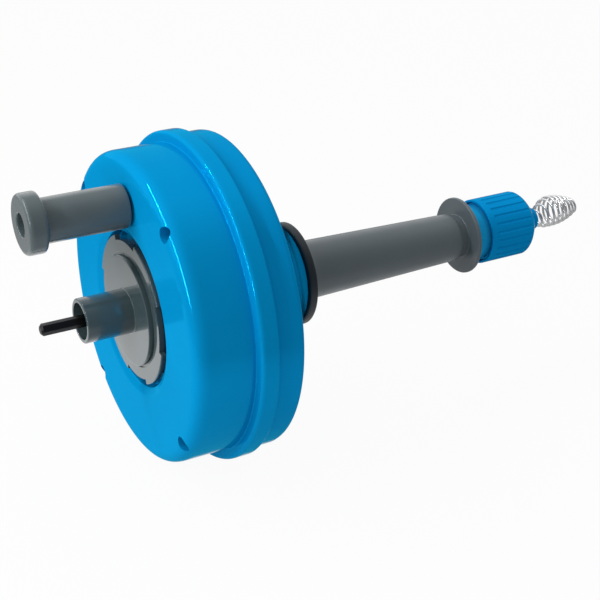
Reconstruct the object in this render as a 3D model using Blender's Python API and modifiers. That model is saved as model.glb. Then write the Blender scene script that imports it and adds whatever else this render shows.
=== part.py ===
"""Hand-held drain snake: a cable drum that spins on the end of a grip, with a
crank knob and a hexagonal drive shank behind and a clamping chuck in front.

The spin axis is world X and points to the nose.  The origin lies on that axis
in the middle of the hand grip.  Lengths are in metres.
"""

import math

import bmesh
import bpy
from mathutils import Matrix, Vector

# --- Fits -------------------------------------------------------------------
SEAT_GAP = 0.0003           # between faces that rest on each other
RUNNING_GAP = 0.0003        # around shafts and screws
WALL = 0.0026               # moulded plastic wall

# --- Spindle tube -----------------------------------------------------------
SPINDLE_RADIUS = 0.0105
SPINDLE_BORE_RADIUS = 0.0070
SPINDLE_FLANGE_THICKNESS = 0.0040
SPINDLE_SCREW_COUNT = 3
SPINDLE_SCREW_RADIUS = 0.0012
SPINDLE_SCREW_LENGTH = 0.0120
SPINDLE_SCREW_HEAD_RADIUS = SPINDLE_SCREW_RADIUS + 0.0010
SPINDLE_SCREW_CIRCLE = SPINDLE_RADIUS + SPINDLE_SCREW_HEAD_RADIUS + 0.0008
SPINDLE_FLANGE_RADIUS = SPINDLE_SCREW_CIRCLE + 0.0030

# --- Grip sleeve and its bearings -------------------------------------------
GRIP_LENGTH = 0.1265
BUSH_WALL = 0.0014
BUSH_LENGTH = 0.0150
BUSH_FLANGE_WIDTH = 0.0016      # beyond the bush's body
BUSH_FLANGE_THICKNESS = 0.0020
GRIP_BORE_RADIUS = SPINDLE_RADIUS + RUNNING_GAP + BUSH_WALL
BUSH_FLANGE_RADIUS = GRIP_BORE_RADIUS + BUSH_FLANGE_WIDTH
GRIP_FRONT_RADIUS = GRIP_BORE_RADIUS + 0.0029   # hand hold, in front
GRIP_REAR_RADIUS = GRIP_FRONT_RADIUS + 0.0026   # hand hold, behind
REAR_FLANGE_RADIUS = 0.0280
REAR_FLANGE_THICKNESS = 0.0038
REAR_FLANGE_FILLET = 0.0088
REAR_FLANGE_EDGE = 0.0010
FRONT_FLANGE_RADIUS = 0.0243
FRONT_FLANGE_THICKNESS = 0.0025
FRONT_FLANGE_EDGE = 0.0010
SPIGOT_LENGTH = 0.0027          # in front of that flange, inside the chuck's skirt
SPIGOT_RADIUS = BUSH_FLANGE_RADIUS + 0.0014
UNDERCUT_WIDTH = 0.0058         # waist between the hand hold and the front flange
UNDERCUT_RADIUS = GRIP_BORE_RADIUS + 0.0015
HOLD_EDGE = 0.0010

# --- Thrust washers at both ends of the grip --------------------------------
REAR_WASHER_THICKNESS = 0.0026
REAR_RIM_RADIUS = REAR_FLANGE_RADIUS + 0.0032    # black rim around the grip's flange
REAR_RIM_LENGTH = 0.0055
REAR_RIM_ROUND = 0.0022         # towards the drum
REAR_RIM_EDGE = 0.0013          # towards the hand
FRONT_WASHER_THICKNESS = 0.0014
FRONT_WASHER_WIDTH = 0.0043

# --- Drum -------------------------------------------------------------------
DRUM_RADIUS = 0.0903        # rear shell's plain side
REAR_SHELL_DEPTH = 0.0452
REAR_EDGE_RADIUS = 0.0085
BEAD_RADIUS = DRUM_RADIUS + 0.0064      # crest of the raised rim
BEAD_WIDTH = 0.0110         # from its step to the parting line
BEAD_ROUND = 0.0028         # on top of the step
BEAD_EDGE = 0.0009          # at the parting line
BEAD_CREASE = 0.0005        # at the foot of the step
BEAD_BORE_RADIUS = BEAD_RADIUS - 0.0037
LIP_LENGTH = 0.0080         # front shell's lip inside the rear shell
BAND_RADIUS = BEAD_RADIUS - 0.0032      # front shell's outer band
BAND_WIDTH = 0.0178
DOME_SHOULDER_RADIUS = BAND_RADIUS - 0.0040
DOME_DEPTH = 0.0363         # nose of the front shell to its shoulder
DOME_NOSE_RADIUS = 0.0296
DOME_FLARE = (0.0260, 0.0092)   # bend of the flare: off the shoulder, off the nose
SOCKET_DEPTH = 0.0220       # tube that holds the spindle inside the dome
SOCKET_RADIUS = SPINDLE_FLANGE_RADIUS - SEAT_GAP

# --- Screws that close the drum ---------------------------------------------
SHELL_SCREW_COUNT = 4
SHELL_SCREW_START = 39.2    # degrees from +Y towards +Z
SHELL_SCREW_RADIUS = 0.0020
SHELL_SCREW_HEAD_RADIUS = SHELL_SCREW_RADIUS + 0.0018
SHELL_SCREW_HEAD_HEIGHT = 0.0026
SHELL_SCREW_REACH = 0.0045  # past the parting line into the front shell
PILOT_DEPTH = 0.0060
COUNTERBORE_RADIUS = SHELL_SCREW_HEAD_RADIUS + 2 * RUNNING_GAP
COUNTERBORE_DEPTH = 0.0135
SHELL_BOSS_RADIUS = COUNTERBORE_RADIUS + 0.0019
SHELL_SCREW_CIRCLE = DRUM_RADIUS - COUNTERBORE_RADIUS - 0.0014

# --- Hub cap and its pocket in the rear shell -------------------------------
CAP_RADIUS = 0.0435
CAP_RECESS = 0.0003         # ring behind the drum's rear face
CAP_RING_THICKNESS = 0.0030
CAP_DISC_RADIUS = CAP_RADIUS - 0.0113
CAP_DISC_PROUD = 0.0022
CAP_GROOVE = 0.0012
CAP_NOTCH_COUNT = 4
CAP_NOTCH_START = -6.0
CAP_NOTCH_ARC = 38.0
CAP_NOTCH_DEPTH = 0.0031
CAP_SEAT_RADIUS = CAP_RADIUS - 0.0040
CAP_SKIRT_THICKNESS = 0.0030
POCKET_RADIUS = CAP_RADIUS + 0.0020
POCKET_DEPTH = 0.0085
POCKET_CHAMFER = 0.0020
SHELF_THICKNESS = 0.0025
SHELF_BORE_RADIUS = CAP_SEAT_RADIUS - 0.0035
LUG_COUNT = 4
LUG_WIDTH = 0.0120
LUG_REACH = 0.0032          # past the shelf's bore
LUG_THICKNESS = 0.0022
LUG_START = 39.0
LUG_TURN = 45.0             # from locked to the entry slots
BOSS_TUBE_RADIUS = 0.0130
BOSS_TUBE_LENGTH = 0.0277   # from the cap's disc to the open end
BOSS_RECESS_RADIUS = BOSS_TUBE_RADIUS - 0.0024
BOSS_RECESS_DEPTH = 0.0155

# --- Drive shank ------------------------------------------------------------
SHANK_FLATS = 0.00635       # quarter-inch hexagon
SHANK_STICK_OUT = 0.0232    # past the end of the boss tube
SHANK_STUD_RADIUS = 0.0050
SHANK_FLANGE_RADIUS = SHANK_STUD_RADIUS + 0.0060
SHANK_FLANGE_THICKNESS = 0.0030
SHANK_NUT_FLATS = 2 * SHANK_STUD_RADIUS + 0.0050
SHANK_NUT_THICKNESS = 0.0060

# --- Crank knob -------------------------------------------------------------
KNOB_ANGLE = 93.0
KNOB_BOLT_RADIUS = 0.0040
KNOB_BOLT_HEAD_RADIUS = KNOB_BOLT_RADIUS + 0.0018
KNOB_BOLT_HEAD_HEIGHT = 0.0035
KNOB_BOLT_END = 0.0020      # past the nut
KNOB_LENGTH = 0.0580
KNOB_RADIUS = 0.0124
KNOB_EDGE = 0.0012
KNOB_HEAD_RADIUS = KNOB_RADIUS + 0.0045
KNOB_HEAD_LENGTH = 0.0105
KNOB_HEAD_ROUND = 0.0026
KNOB_RECESS_RADIUS = KNOB_BOLT_HEAD_RADIUS + 0.0008
KNOB_RECESS_DEPTH = 0.0095
KNOB_WASHER_RADIUS = KNOB_BOLT_RADIUS + 0.0045
KNOB_WASHER_THICKNESS = 0.0010
KNOB_NUT_FLATS = 2 * KNOB_BOLT_RADIUS + 0.0050
KNOB_NUT_THICKNESS = 0.0065
KNOB_PAD_RADIUS = KNOB_BOLT_RADIUS + 0.0060
KNOB_PAD_HEIGHT = 0.0028
KNOB_CLEARANCE = 0.0095     # pad to the hub cap's pocket
KNOB_CIRCLE = POCKET_RADIUS + KNOB_PAD_RADIUS + KNOB_CLEARANCE

# --- Cable ------------------------------------------------------------------
CABLE_RADIUS = 0.0030
CABLE_TURNS = 4             # in each of the two layers
CABLE_TURN_GAP = 0.0010
CABLE_LAYER_GAP = 0.0007
CABLE_FREE_ROOM = 0.0049    # between the knob's bolt and the first turn
CABLE_POINTS_PER_TURN = 12
CABLE_LEAD_IN = 0.55        # turns from the anchor to the first layer
CABLE_CROSSING = 0.35       # turns from the outer layer to the inner
CABLE_WIND_IN = 0.62        # turns from the inner layer to the axis
CABLE_WIND_IN_POINTS = 14
ANCHOR_ANGLE = -60.0
ANCHOR_WIDTH = 0.0140
ANCHOR_THICKNESS = 2 * CABLE_RADIUS + 0.0045
ANCHOR_FOOT_HEIGHT = 0.0030
ANCHOR_SCREW_RADIUS = 0.0015
ANCHOR_SCREW_INSET = CABLE_RADIUS + 0.0095      # from the cable's axis to the hub side
ANCHOR_LENGTH = ANCHOR_SCREW_INSET + 0.0075
ANCHOR_BOSS_RADIUS = 0.0045

# --- Bulb head --------------------------------------------------------------
WIRE_RADIUS = 0.0008
HEAD_LENGTH = 0.0347        # past the nose of the nut
HEAD_GRIP_TURNS = 2         # close turns on the end of the cable
HEAD_GRIP_INSET = 0.0015    # of them that start inside the nut's nose
HEAD_BULB_TURNS = 9
HEAD_BULB_RADIUS = 0.0094
HEAD_TIP_RADIUS = 0.0036
HEAD_SWELL = 0.36           # share of the bulb that widens
HEAD_LIFT = 0.0028          # how far the springy head stands off the axis
HEAD_POINTS_PER_TURN = 10

# --- Chuck ------------------------------------------------------------------
CHUCK_RADIUS = 0.0188       # over the thread
CHUCK_LENGTH = 0.0315
CHUCK_NECK_RADIUS = CHUCK_RADIUS - 0.0016   # plain collar behind the thread
CHUCK_NECK_LENGTH = 0.0085
SKIRT_BORE_RADIUS = SPIGOT_RADIUS + RUNNING_GAP
CHUCK_SOCKET_DEPTH = 0.0160
CHUCK_THROAT_RADIUS = SPINDLE_BORE_RADIUS
CHUCK_THROAT_LENGTH = 0.0020
CHUCK_TRAVEL = 0.0045       # nut and collet, from open to clamped
CONE_SMALL_RADIUS = 0.0095
CONE_LARGE_RADIUS = 0.0145
SET_SCREW_COUNT = 2
SET_SCREW_RADIUS = 0.0019
SET_SCREW_SETBACK = 0.0125
COLLET_NOSE_LENGTH = 0.0035
COLLET_BORE_RADIUS = CABLE_RADIUS + 0.0012
COLLET_SLIT_WIDTH = 0.0014
NUT_WASHER_RADIUS = 0.0140
NUT_WASHER_THICKNESS = 0.0010
NUT_RADIUS = CHUCK_RADIUS + SEAT_GAP + 0.0016
NUT_SETBACK = 0.00625       # its rear end, from the chuck's seat on the washer
NUT_LENGTH = 0.04625
NUT_SHOULDER = 0.0158       # length of the tapered front with its nose
NUT_NOSE_BORE = CABLE_RADIUS + 2 * WIRE_RADIUS + 0.0007
NUT_NOSE_RADIUS = NUT_NOSE_BORE + 0.0017
NUT_NOSE_LENGTH = 0.0042
NUT_CONE_FRONT_RADIUS = NUT_NOSE_RADIUS + 0.0022
NUT_CONE_REAR_RADIUS = NUT_RADIUS - 0.0038
NUT_CONE_LENGTH = 0.0068
NUT_RIB_COUNT = 24
NUT_FLUTE_RADIUS = 0.0013
NUT_FLUTE_DEPTH = 0.0006

# --- Smoothness -------------------------------------------------------------
DRUM_STEPS = 44
CAP_STEPS = 40
GRIP_STEPS = 28
ROUND_STEPS = 24
SMALL_STEPS = 12
FLUTE_STEPS = 6

# --- Places along the axis, worked out from the sizes above -----------------
GRIP_REAR_X = -GRIP_LENGTH / 2
GRIP_FRONT_X = GRIP_LENGTH / 2
DOME_FRONT_X = GRIP_REAR_X - REAR_WASHER_THICKNESS - 2 * SEAT_GAP
SHOULDER_X = DOME_FRONT_X - DOME_DEPTH
PARTING_X = SHOULDER_X - BAND_WIDTH
REAR_FACE_X = PARTING_X - REAR_SHELL_DEPTH
REAR_WALL_X = REAR_FACE_X + WALL
SOCKET_REAR_X = DOME_FRONT_X - SOCKET_DEPTH
SHELF_REAR_X = REAR_FACE_X + POCKET_DEPTH
SHELF_FRONT_X = SHELF_REAR_X + SHELF_THICKNESS
CAP_RING_X = REAR_FACE_X + CAP_RECESS
CAP_DISC_X = REAR_FACE_X - CAP_DISC_PROUD
CAP_INNER_X = CAP_RING_X + CAP_RING_THICKNESS
BOSS_END_X = CAP_DISC_X - BOSS_TUBE_LENGTH
BOSS_FLOOR_X = BOSS_END_X + BOSS_RECESS_DEPTH
SHANK_TIP_X = BOSS_END_X - SHANK_STICK_OUT
KNOB_SEAT_X = REAR_FACE_X - KNOB_WASHER_THICKNESS - 2 * SEAT_GAP
KNOB_END_X = KNOB_SEAT_X - KNOB_LENGTH
CHUCK_REAR_X = GRIP_FRONT_X + FRONT_WASHER_THICKNESS + 2 * SEAT_GAP
CHUCK_FRONT_X = CHUCK_REAR_X + CHUCK_LENGTH
SPINDLE_FRONT_X = CHUCK_REAR_X + CHUCK_SOCKET_DEPTH - SEAT_GAP
CONE_REAR_X = CHUCK_REAR_X + CHUCK_SOCKET_DEPTH + CHUCK_THROAT_LENGTH
SKIRT_REAR_X = GRIP_FRONT_X - SPIGOT_LENGTH + 2 * SEAT_GAP
NUT_REAR_X = CHUCK_REAR_X + NUT_SETBACK
NUT_FRONT_X = NUT_REAR_X + NUT_LENGTH
COLLET_FRONT_X = CHUCK_FRONT_X + COLLET_NOSE_LENGTH
COLLET_REAR_X = CONE_REAR_X + CHUCK_TRAVEL + SEAT_GAP
NUT_CAVITY_X = COLLET_FRONT_X + NUT_WASHER_THICKNESS + 2 * SEAT_GAP
CABLE_OUTER_RADIUS = SHELL_SCREW_CIRCLE - SHELL_BOSS_RADIUS - CABLE_RADIUS - 2 * SEAT_GAP
CABLE_INNER_RADIUS = CABLE_OUTER_RADIUS - 2 * CABLE_RADIUS - CABLE_LAYER_GAP
CABLE_PITCH = 2 * CABLE_RADIUS + CABLE_TURN_GAP
KNOB_NUT_X = REAR_WALL_X + KNOB_PAD_HEIGHT + SEAT_GAP
KNOB_BOLT_TIP_X = KNOB_NUT_X + KNOB_NUT_THICKNESS + KNOB_BOLT_END
CABLE_REAR_X = KNOB_BOLT_TIP_X + CABLE_FREE_ROOM + CABLE_RADIUS
CABLE_FRONT_X = CABLE_REAR_X + CABLE_TURNS * CABLE_PITCH
CABLE_JOINT_X = SOCKET_REAR_X + SPINDLE_FLANGE_THICKNESS
ANCHOR_REAR_X = REAR_WALL_X + ANCHOR_FOOT_HEIGHT
ANCHOR_FRONT_X = ANCHOR_REAR_X + ANCHOR_THICKNESS
ANCHOR_CABLE_X = ANCHOR_REAR_X + ANCHOR_THICKNESS / 2
HEAD_TIP_X = NUT_FRONT_X + HEAD_LENGTH


# --- Scene and materials ----------------------------------------------------
def clear_scene():
    for thing in list(bpy.data.objects):
        bpy.data.objects.remove(thing, do_unlink=True)


def new_collection(name):
    group = bpy.data.collections.new(name)
    bpy.context.scene.collection.children.link(group)
    return group


def principled(name, colour, roughness, metallic=0.0):
    material = bpy.data.materials.new(name)
    material.use_nodes = True
    shader = material.node_tree.nodes["Principled BSDF"]
    shader.inputs["Base Color"].default_value = (*colour, 1.0)
    shader.inputs["Roughness"].default_value = roughness
    shader.inputs["Metallic"].default_value = metallic
    return material


def blue_plastic(name):
    return principled(name, (0.004, 0.24, 0.56), 0.18)


def grey_plastic(name):
    return principled(name, (0.095, 0.11, 0.12), 0.42)


def pale_nylon(name):
    return principled(name, (0.72, 0.72, 0.68), 0.45)


def black_nylon(name):
    return principled(name, (0.012, 0.013, 0.014), 0.35)


def black_steel(name):
    return principled(name, (0.02, 0.02, 0.022), 0.4, 0.7)


def bright_steel(name):
    return principled(name, (0.55, 0.56, 0.57), 0.28, 1.0)


def yellow_brass(name):
    return principled(name, (0.60, 0.42, 0.18), 0.32, 1.0)


# --- Ways of making shapes --------------------------------------------------
def on_circle(radius, degrees):
    """Place (y, z) at a radius and an angle from +Y towards +Z."""
    angle = math.radians(degrees)
    return radius * math.cos(angle), radius * math.sin(angle)


def arc(centre, radius, start, end, count):
    """Points (x, r) of a round stretch, from one angle to another in degrees."""
    points = []
    for index in range(count + 1):
        angle = math.radians(start + (end - start) * index / count)
        points.append((centre[0] + radius * math.cos(angle), centre[1] + radius * math.sin(angle)))
    return points


def bend(start, control, end, count):
    """Points of a curve that leaves start and reaches end, drawn to control."""
    points = []
    for index in range(count + 1):
        t = index / count
        weights = ((1 - t) ** 2, 2 * t * (1 - t), t ** 2)
        x = sum(w * p[0] for w, p in zip(weights, (start, control, end)))
        r = sum(w * p[1] for w, p in zip(weights, (start, control, end)))
        points.append((x, r))
    return points


def inset_curve(points, distance):
    """The same curve moved towards the axis side by a wall thickness."""
    moved = []
    for index, point in enumerate(points):
        before = points[max(index - 1, 0)]
        after = points[min(index + 1, len(points) - 1)]
        direction = Vector((after[0] - before[0], after[1] - before[1])).normalized()
        moved.append((point[0] - direction.y * distance, point[1] + direction.x * distance))
    return moved


def link(thing, material, group):
    group.objects.link(thing)
    if material is not None:
        thing.data.materials.append(material)
    return thing


def turned(name, outline, material, group, steps=ROUND_STEPS, closed=True, place=(0.0, 0.0)):
    """A lathe-turned solid about a line parallel to X through place (y, z).

    The outline is (x, radius) and runs from the front to the rear on its outer
    side.  An open outline starts and ends on the axis.
    """
    shape = bmesh.new()
    corners = [shape.verts.new((radius, 0.0, x)) for x, radius in outline]
    for first, second in zip(corners, corners[1:]):
        shape.edges.new((first, second))
    if closed:
        shape.edges.new((corners[-1], corners[0]))
    mesh = bpy.data.meshes.new(name)
    shape.to_mesh(mesh)
    shape.free()
    thing = link(bpy.data.objects.new(name, mesh), material, group)
    thing.location = (0.0, *place)
    thing.rotation_euler = (0.0, math.pi / 2, 0.0)
    screw = thing.modifiers.new("Turning", "SCREW")
    screw.axis = "Z"
    screw.angle = 2 * math.pi
    screw.steps = steps
    screw.render_steps = steps
    screw.use_merge_vertices = True
    screw.merge_threshold = 0.00001
    return thing


def rod(name, rear, front, radius, material, group, steps=SMALL_STEPS, place=(0.0, 0.0)):
    """A plain round bar along X."""
    outline = [(front, 0.0), (front, radius), (rear, radius), (rear, 0.0)]
    return turned(name, outline, material, group, steps, closed=False, place=place)


def tube(name, rear, front, bore, radius, material, group, steps=ROUND_STEPS, place=(0.0, 0.0)):
    """A plain ring or tube along X."""
    outline = [(front, bore), (front, radius), (rear, radius), (rear, bore)]
    return turned(name, outline, material, group, steps, place=place)


def mesh_from(name, shape, material, group):
    bmesh.ops.recalc_face_normals(shape, faces=shape.faces)
    mesh = bpy.data.meshes.new(name)
    shape.to_mesh(mesh)
    shape.free()
    return link(bpy.data.objects.new(name, mesh), material, group)


def add_bar(shape, rear, front, radius, place, segments):
    """Add a cylinder along X to a mesh that is being built."""
    turn = Matrix.Rotation(math.pi / 2, 4, "Y")
    shift = Matrix.Translation(((rear + front) / 2, *place))
    bmesh.ops.create_cone(
        shape, cap_ends=True, segments=segments, radius1=radius, radius2=radius,
        depth=front - rear, matrix=shift @ turn)


def bars(name, rear, front, radius, places, group, segments=SMALL_STEPS):
    """Several equal cylinders along X in one object."""
    shape = bmesh.new()
    for place in places:
        add_bar(shape, rear, front, radius, place, segments)
    return mesh_from(name, shape, None, group)


def add_block(shape, low, high, degrees):
    """Add a box between two corners (x, radial, sideways), turned about X."""
    size = Vector(high) - Vector(low)
    middle = (Vector(high) + Vector(low)) / 2
    turn = Matrix.Rotation(math.radians(degrees), 4, "X")
    matrix = turn @ Matrix.Translation(middle) @ Matrix.Diagonal((*size, 1.0))
    bmesh.ops.create_cube(shape, size=1.0, matrix=matrix)


def blocks(name, low, high, angles, group, material=None):
    """Equal boxes set around the axis in one object."""
    shape = bmesh.new()
    for degrees in angles:
        add_block(shape, low, high, degrees)
    return mesh_from(name, shape, material, group)


def combine(thing, other, operation):
    step = thing.modifiers.new(operation.title(), "BOOLEAN")
    step.operation = operation
    step.object = other
    return thing


def cut(thing, cutter):
    return combine(thing, cutter, "DIFFERENCE")


def join(thing, other):
    return combine(thing, other, "UNION")


def angles_around(count, start):
    return [start + 360.0 * index / count for index in range(count)]


def hexagon_bar(name, rear, front, flats, material, group, place=(0.0, 0.0)):
    shape = bmesh.new()
    add_bar(shape, rear, front, flats / math.sqrt(3), place, 6)
    return mesh_from(name, shape, material, group)


def wire(name, points, radius, material, group):
    """A round wire through a list of points, with closed ends, as one mesh."""
    path = bpy.data.curves.new(name, "CURVE")
    path.dimensions = "3D"
    path.bevel_depth = radius
    path.bevel_resolution = 2
    path.use_fill_caps = True
    spline = path.splines.new("POLY")
    spline.points.add(len(points) - 1)
    for point, place in zip(spline.points, points):
        point.co = (*place, 1.0)
    path.materials.append(material)
    thing = bpy.data.objects.new(name, path)
    group.objects.link(thing)
    return thing


# --- Grip -------------------------------------------------------------------
def grip_outline():
    """Both flanges, the tapered hand hold between them, and the stepped bore."""
    flange_front = GRIP_REAR_X + REAR_FLANGE_THICKNESS
    spigot_x = GRIP_FRONT_X - SPIGOT_LENGTH
    hold_front = spigot_x - FRONT_FLANGE_THICKNESS - UNDERCUT_WIDTH
    edge = FRONT_FLANGE_EDGE
    round_edge = REAR_FLANGE_EDGE
    fillet_end = (flange_front + REAR_FLANGE_FILLET, GRIP_REAR_RADIUS)
    fillet_start = (flange_front, GRIP_REAR_RADIUS + REAR_FLANGE_FILLET)
    front_flange_x = spigot_x - edge
    rear_flange_x = spigot_x - FRONT_FLANGE_THICKNESS + edge
    points = [(GRIP_FRONT_X, BUSH_FLANGE_RADIUS), (GRIP_FRONT_X, SPIGOT_RADIUS), (spigot_x, SPIGOT_RADIUS)]
    points += arc((front_flange_x, FRONT_FLANGE_RADIUS - edge), edge, 0, 90, 2)
    points += arc((rear_flange_x, FRONT_FLANGE_RADIUS - edge), edge, 90, 180, 2)
    points += [(rear_flange_x - edge, UNDERCUT_RADIUS), (hold_front, UNDERCUT_RADIUS)]
    points += [(hold_front, GRIP_FRONT_RADIUS - HOLD_EDGE), (hold_front - HOLD_EDGE, GRIP_FRONT_RADIUS)]
    points += bend(fillet_end, (flange_front, GRIP_REAR_RADIUS), fillet_start, 4)
    points += arc((flange_front - round_edge, REAR_FLANGE_RADIUS - round_edge), round_edge, 0, 90, 2)
    points += arc((GRIP_REAR_X + round_edge, REAR_FLANGE_RADIUS - round_edge), round_edge, 90, 180, 2)
    points += [(GRIP_REAR_X, BUSH_FLANGE_RADIUS)]
    points += [(GRIP_REAR_X + BUSH_FLANGE_THICKNESS, BUSH_FLANGE_RADIUS)]
    points += [(GRIP_REAR_X + BUSH_FLANGE_THICKNESS, GRIP_BORE_RADIUS)]
    points += [(GRIP_FRONT_X - BUSH_FLANGE_THICKNESS, GRIP_BORE_RADIUS)]
    points += [(GRIP_FRONT_X - BUSH_FLANGE_THICKNESS, BUSH_FLANGE_RADIUS)]
    return points


def grip_sleeve(parts):
    return turned("grip_sleeve", grip_outline(), grey_plastic("grip grey"), parts,
                  GRIP_STEPS)


def grip_bush(name, outer_x, inwards, parts):
    """A flanged plain bearing in one end of the grip; inwards is +1 or -1."""
    bore = SPINDLE_RADIUS + RUNNING_GAP
    body = GRIP_BORE_RADIUS - SEAT_GAP
    flange = BUSH_FLANGE_RADIUS - SEAT_GAP
    step = outer_x + inwards * (BUSH_FLANGE_THICKNESS - SEAT_GAP)
    end = outer_x + inwards * BUSH_LENGTH
    outline = [(outer_x, bore), (outer_x, flange), (step, flange), (step, body), (end, body), (end, bore)]
    if inwards > 0:
        outline.reverse()
    return turned(name, outline, pale_nylon(name + " nylon"), parts)


def rear_thrust_washer(parts):
    """A washer with a thick round rim that takes in the edge of the grip's flange."""
    bore = SPINDLE_RADIUS + RUNNING_GAP
    recess = REAR_FLANGE_RADIUS + SEAT_GAP
    rear = DOME_FRONT_X + SEAT_GAP
    recess_x = rear + REAR_WASHER_THICKNESS
    rim_x = rear + REAR_RIM_LENGTH
    edge = (rim_x - REAR_RIM_EDGE, REAR_RIM_RADIUS - REAR_RIM_EDGE)
    back = (rear + REAR_RIM_ROUND, REAR_RIM_RADIUS - REAR_RIM_ROUND)
    points = [(rim_x, recess)]
    points += arc(edge, REAR_RIM_EDGE, 0, 90, 3)
    points += arc(back, REAR_RIM_ROUND, 90, 180, 4)
    points += [(rear, bore), (recess_x, bore), (recess_x, recess)]
    return turned("rear_thrust_washer", points, black_nylon("rear washer nylon"), parts, GRIP_STEPS)


def front_thrust_washer(parts):
    bore = SPINDLE_RADIUS + RUNNING_GAP
    rear = GRIP_FRONT_X + SEAT_GAP
    return tube("front_thrust_washer", rear, rear + FRONT_WASHER_THICKNESS, bore,
                bore + FRONT_WASHER_WIDTH, pale_nylon("front washer nylon"), parts)


# --- Drum shells ------------------------------------------------------------
def screw_places():
    return [on_circle(SHELL_SCREW_CIRCLE, degrees)
            for degrees in angles_around(SHELL_SCREW_COUNT, SHELL_SCREW_START)]


def bosses(name, rear, front, radius, places, envelope, cutters):
    """Screw bosses trimmed to the inside of a shell's outer skin."""
    blank = bars(name, rear, front, radius, places, cutters)
    return combine(blank, envelope, "INTERSECT")


def dome_curve(inset, count=5):
    nose = (DOME_FRONT_X - inset, DOME_NOSE_RADIUS - inset)
    shoulder = (SHOULDER_X - inset, DOME_SHOULDER_RADIUS - inset)
    control = (SHOULDER_X + DOME_FLARE[0] - inset, DOME_NOSE_RADIUS + DOME_FLARE[1] - inset)
    return bend(nose, control, shoulder, count)


def front_shell_outline():
    """Dome, outer band, lip at the parting line and the spindle's socket."""
    band_front = SHOULDER_X - (BAND_RADIUS - DOME_SHOULDER_RADIUS) * 0.6
    lip_radius = BEAD_BORE_RADIUS - SEAT_GAP
    lip_bore = lip_radius - WALL * 0.85
    bore = SPINDLE_RADIUS + SEAT_GAP
    inner = inset_curve(dome_curve(0.0), WALL)
    inner.reverse()
    inner = [point for point in inner if SOCKET_RADIUS + WALL < point[1] < lip_bore - WALL]
    points = [(DOME_FRONT_X, bore)]
    points += dome_curve(0.0, 7)
    points += [(band_front, BAND_RADIUS), (PARTING_X + SEAT_GAP / 2, BAND_RADIUS)]
    points += [(PARTING_X + SEAT_GAP / 2, lip_radius), (PARTING_X - LIP_LENGTH, lip_radius)]
    points += [(PARTING_X - LIP_LENGTH, lip_bore), (band_front - WALL * 0.4, lip_bore)]
    points += inner
    points += [(DOME_FRONT_X - WALL, SOCKET_RADIUS + WALL), (DOME_FRONT_X - WALL, SOCKET_RADIUS)]
    points += [(SOCKET_REAR_X, SOCKET_RADIUS), (SOCKET_REAR_X, bore)]
    return points


def front_envelope(cutters):
    """The dome's outside, a little inside its skin."""
    margin = WALL * 0.4
    points = [(DOME_FRONT_X - margin, 0.0)]
    points += dome_curve(margin)
    points += [(SHOULDER_X - WALL, BAND_RADIUS - margin)]
    points += [(PARTING_X - LIP_LENGTH, BAND_RADIUS - margin), (PARTING_X - LIP_LENGTH, 0.0)]
    return turned("front_envelope", points, None, cutters, DRUM_STEPS, closed=False)


def front_shell(parts, cutters):
    shell = turned("front_shell", front_shell_outline(), blue_plastic("front shell blue"),
                   parts, DRUM_STEPS)
    rear = PARTING_X + SEAT_GAP / 2
    blank = bosses("front_bosses", rear, DOME_FRONT_X, SHELL_BOSS_RADIUS, screw_places(),
                   front_envelope(cutters), cutters)
    join(shell, blank)
    hole = SHELL_SCREW_RADIUS + RUNNING_GAP
    cut(shell, bars("front_pilots", rear - WALL, rear + PILOT_DEPTH, hole, screw_places(), cutters))
    hole = SPINDLE_SCREW_RADIUS + RUNNING_GAP
    depth = SOCKET_REAR_X + SPINDLE_SCREW_LENGTH
    cut(shell, bars("socket_pilots", SOCKET_REAR_X - WALL, depth, hole, spindle_screw_places(),
                    cutters, 10))
    return shell


def rear_shell_outer():
    """The outer skin: raised rim with its step, plain side and rounded rear edge."""
    parting = PARTING_X - SEAT_GAP / 2
    foot = PARTING_X - BEAD_WIDTH
    edge_x = REAR_FACE_X + REAR_EDGE_RADIUS
    edge_r = DRUM_RADIUS - REAR_EDGE_RADIUS
    points = [(parting, BEAD_RADIUS - BEAD_EDGE), (parting - BEAD_EDGE, BEAD_RADIUS)]
    points += arc((foot + BEAD_ROUND, BEAD_RADIUS - BEAD_ROUND), BEAD_ROUND, 90, 180, 4)
    points += [(foot, DRUM_RADIUS + BEAD_CREASE), (foot - BEAD_CREASE, DRUM_RADIUS)]
    points += arc((edge_x, edge_r), REAR_EDGE_RADIUS, 90, 180, 6)
    points += [(REAR_FACE_X, POCKET_RADIUS + POCKET_CHAMFER * 1.5)]
    return points


def rear_shell_outline():
    """Outer skin, the pocket for the hub cap with its shelf, and the inner skin."""
    parting = PARTING_X - SEAT_GAP / 2
    side = DRUM_RADIUS - WALL
    inner_edge = REAR_EDGE_RADIUS - WALL
    bead_rear = PARTING_X - LIP_LENGTH - 2 * SEAT_GAP
    points = rear_shell_outer()
    points += [(REAR_FACE_X + POCKET_CHAMFER * 0.7, POCKET_RADIUS)]
    points += [(SHELF_REAR_X, POCKET_RADIUS), (SHELF_REAR_X, SHELF_BORE_RADIUS)]
    points += [(SHELF_FRONT_X, SHELF_BORE_RADIUS), (SHELF_FRONT_X, POCKET_RADIUS + WALL)]
    points += [(REAR_WALL_X, POCKET_RADIUS + WALL)]
    points += arc((REAR_WALL_X + inner_edge, side - inner_edge), inner_edge, 180, 90, 2)
    points += [(bead_rear, side), (bead_rear, BEAD_BORE_RADIUS)]
    points += [(parting, BEAD_BORE_RADIUS)]
    return points


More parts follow.
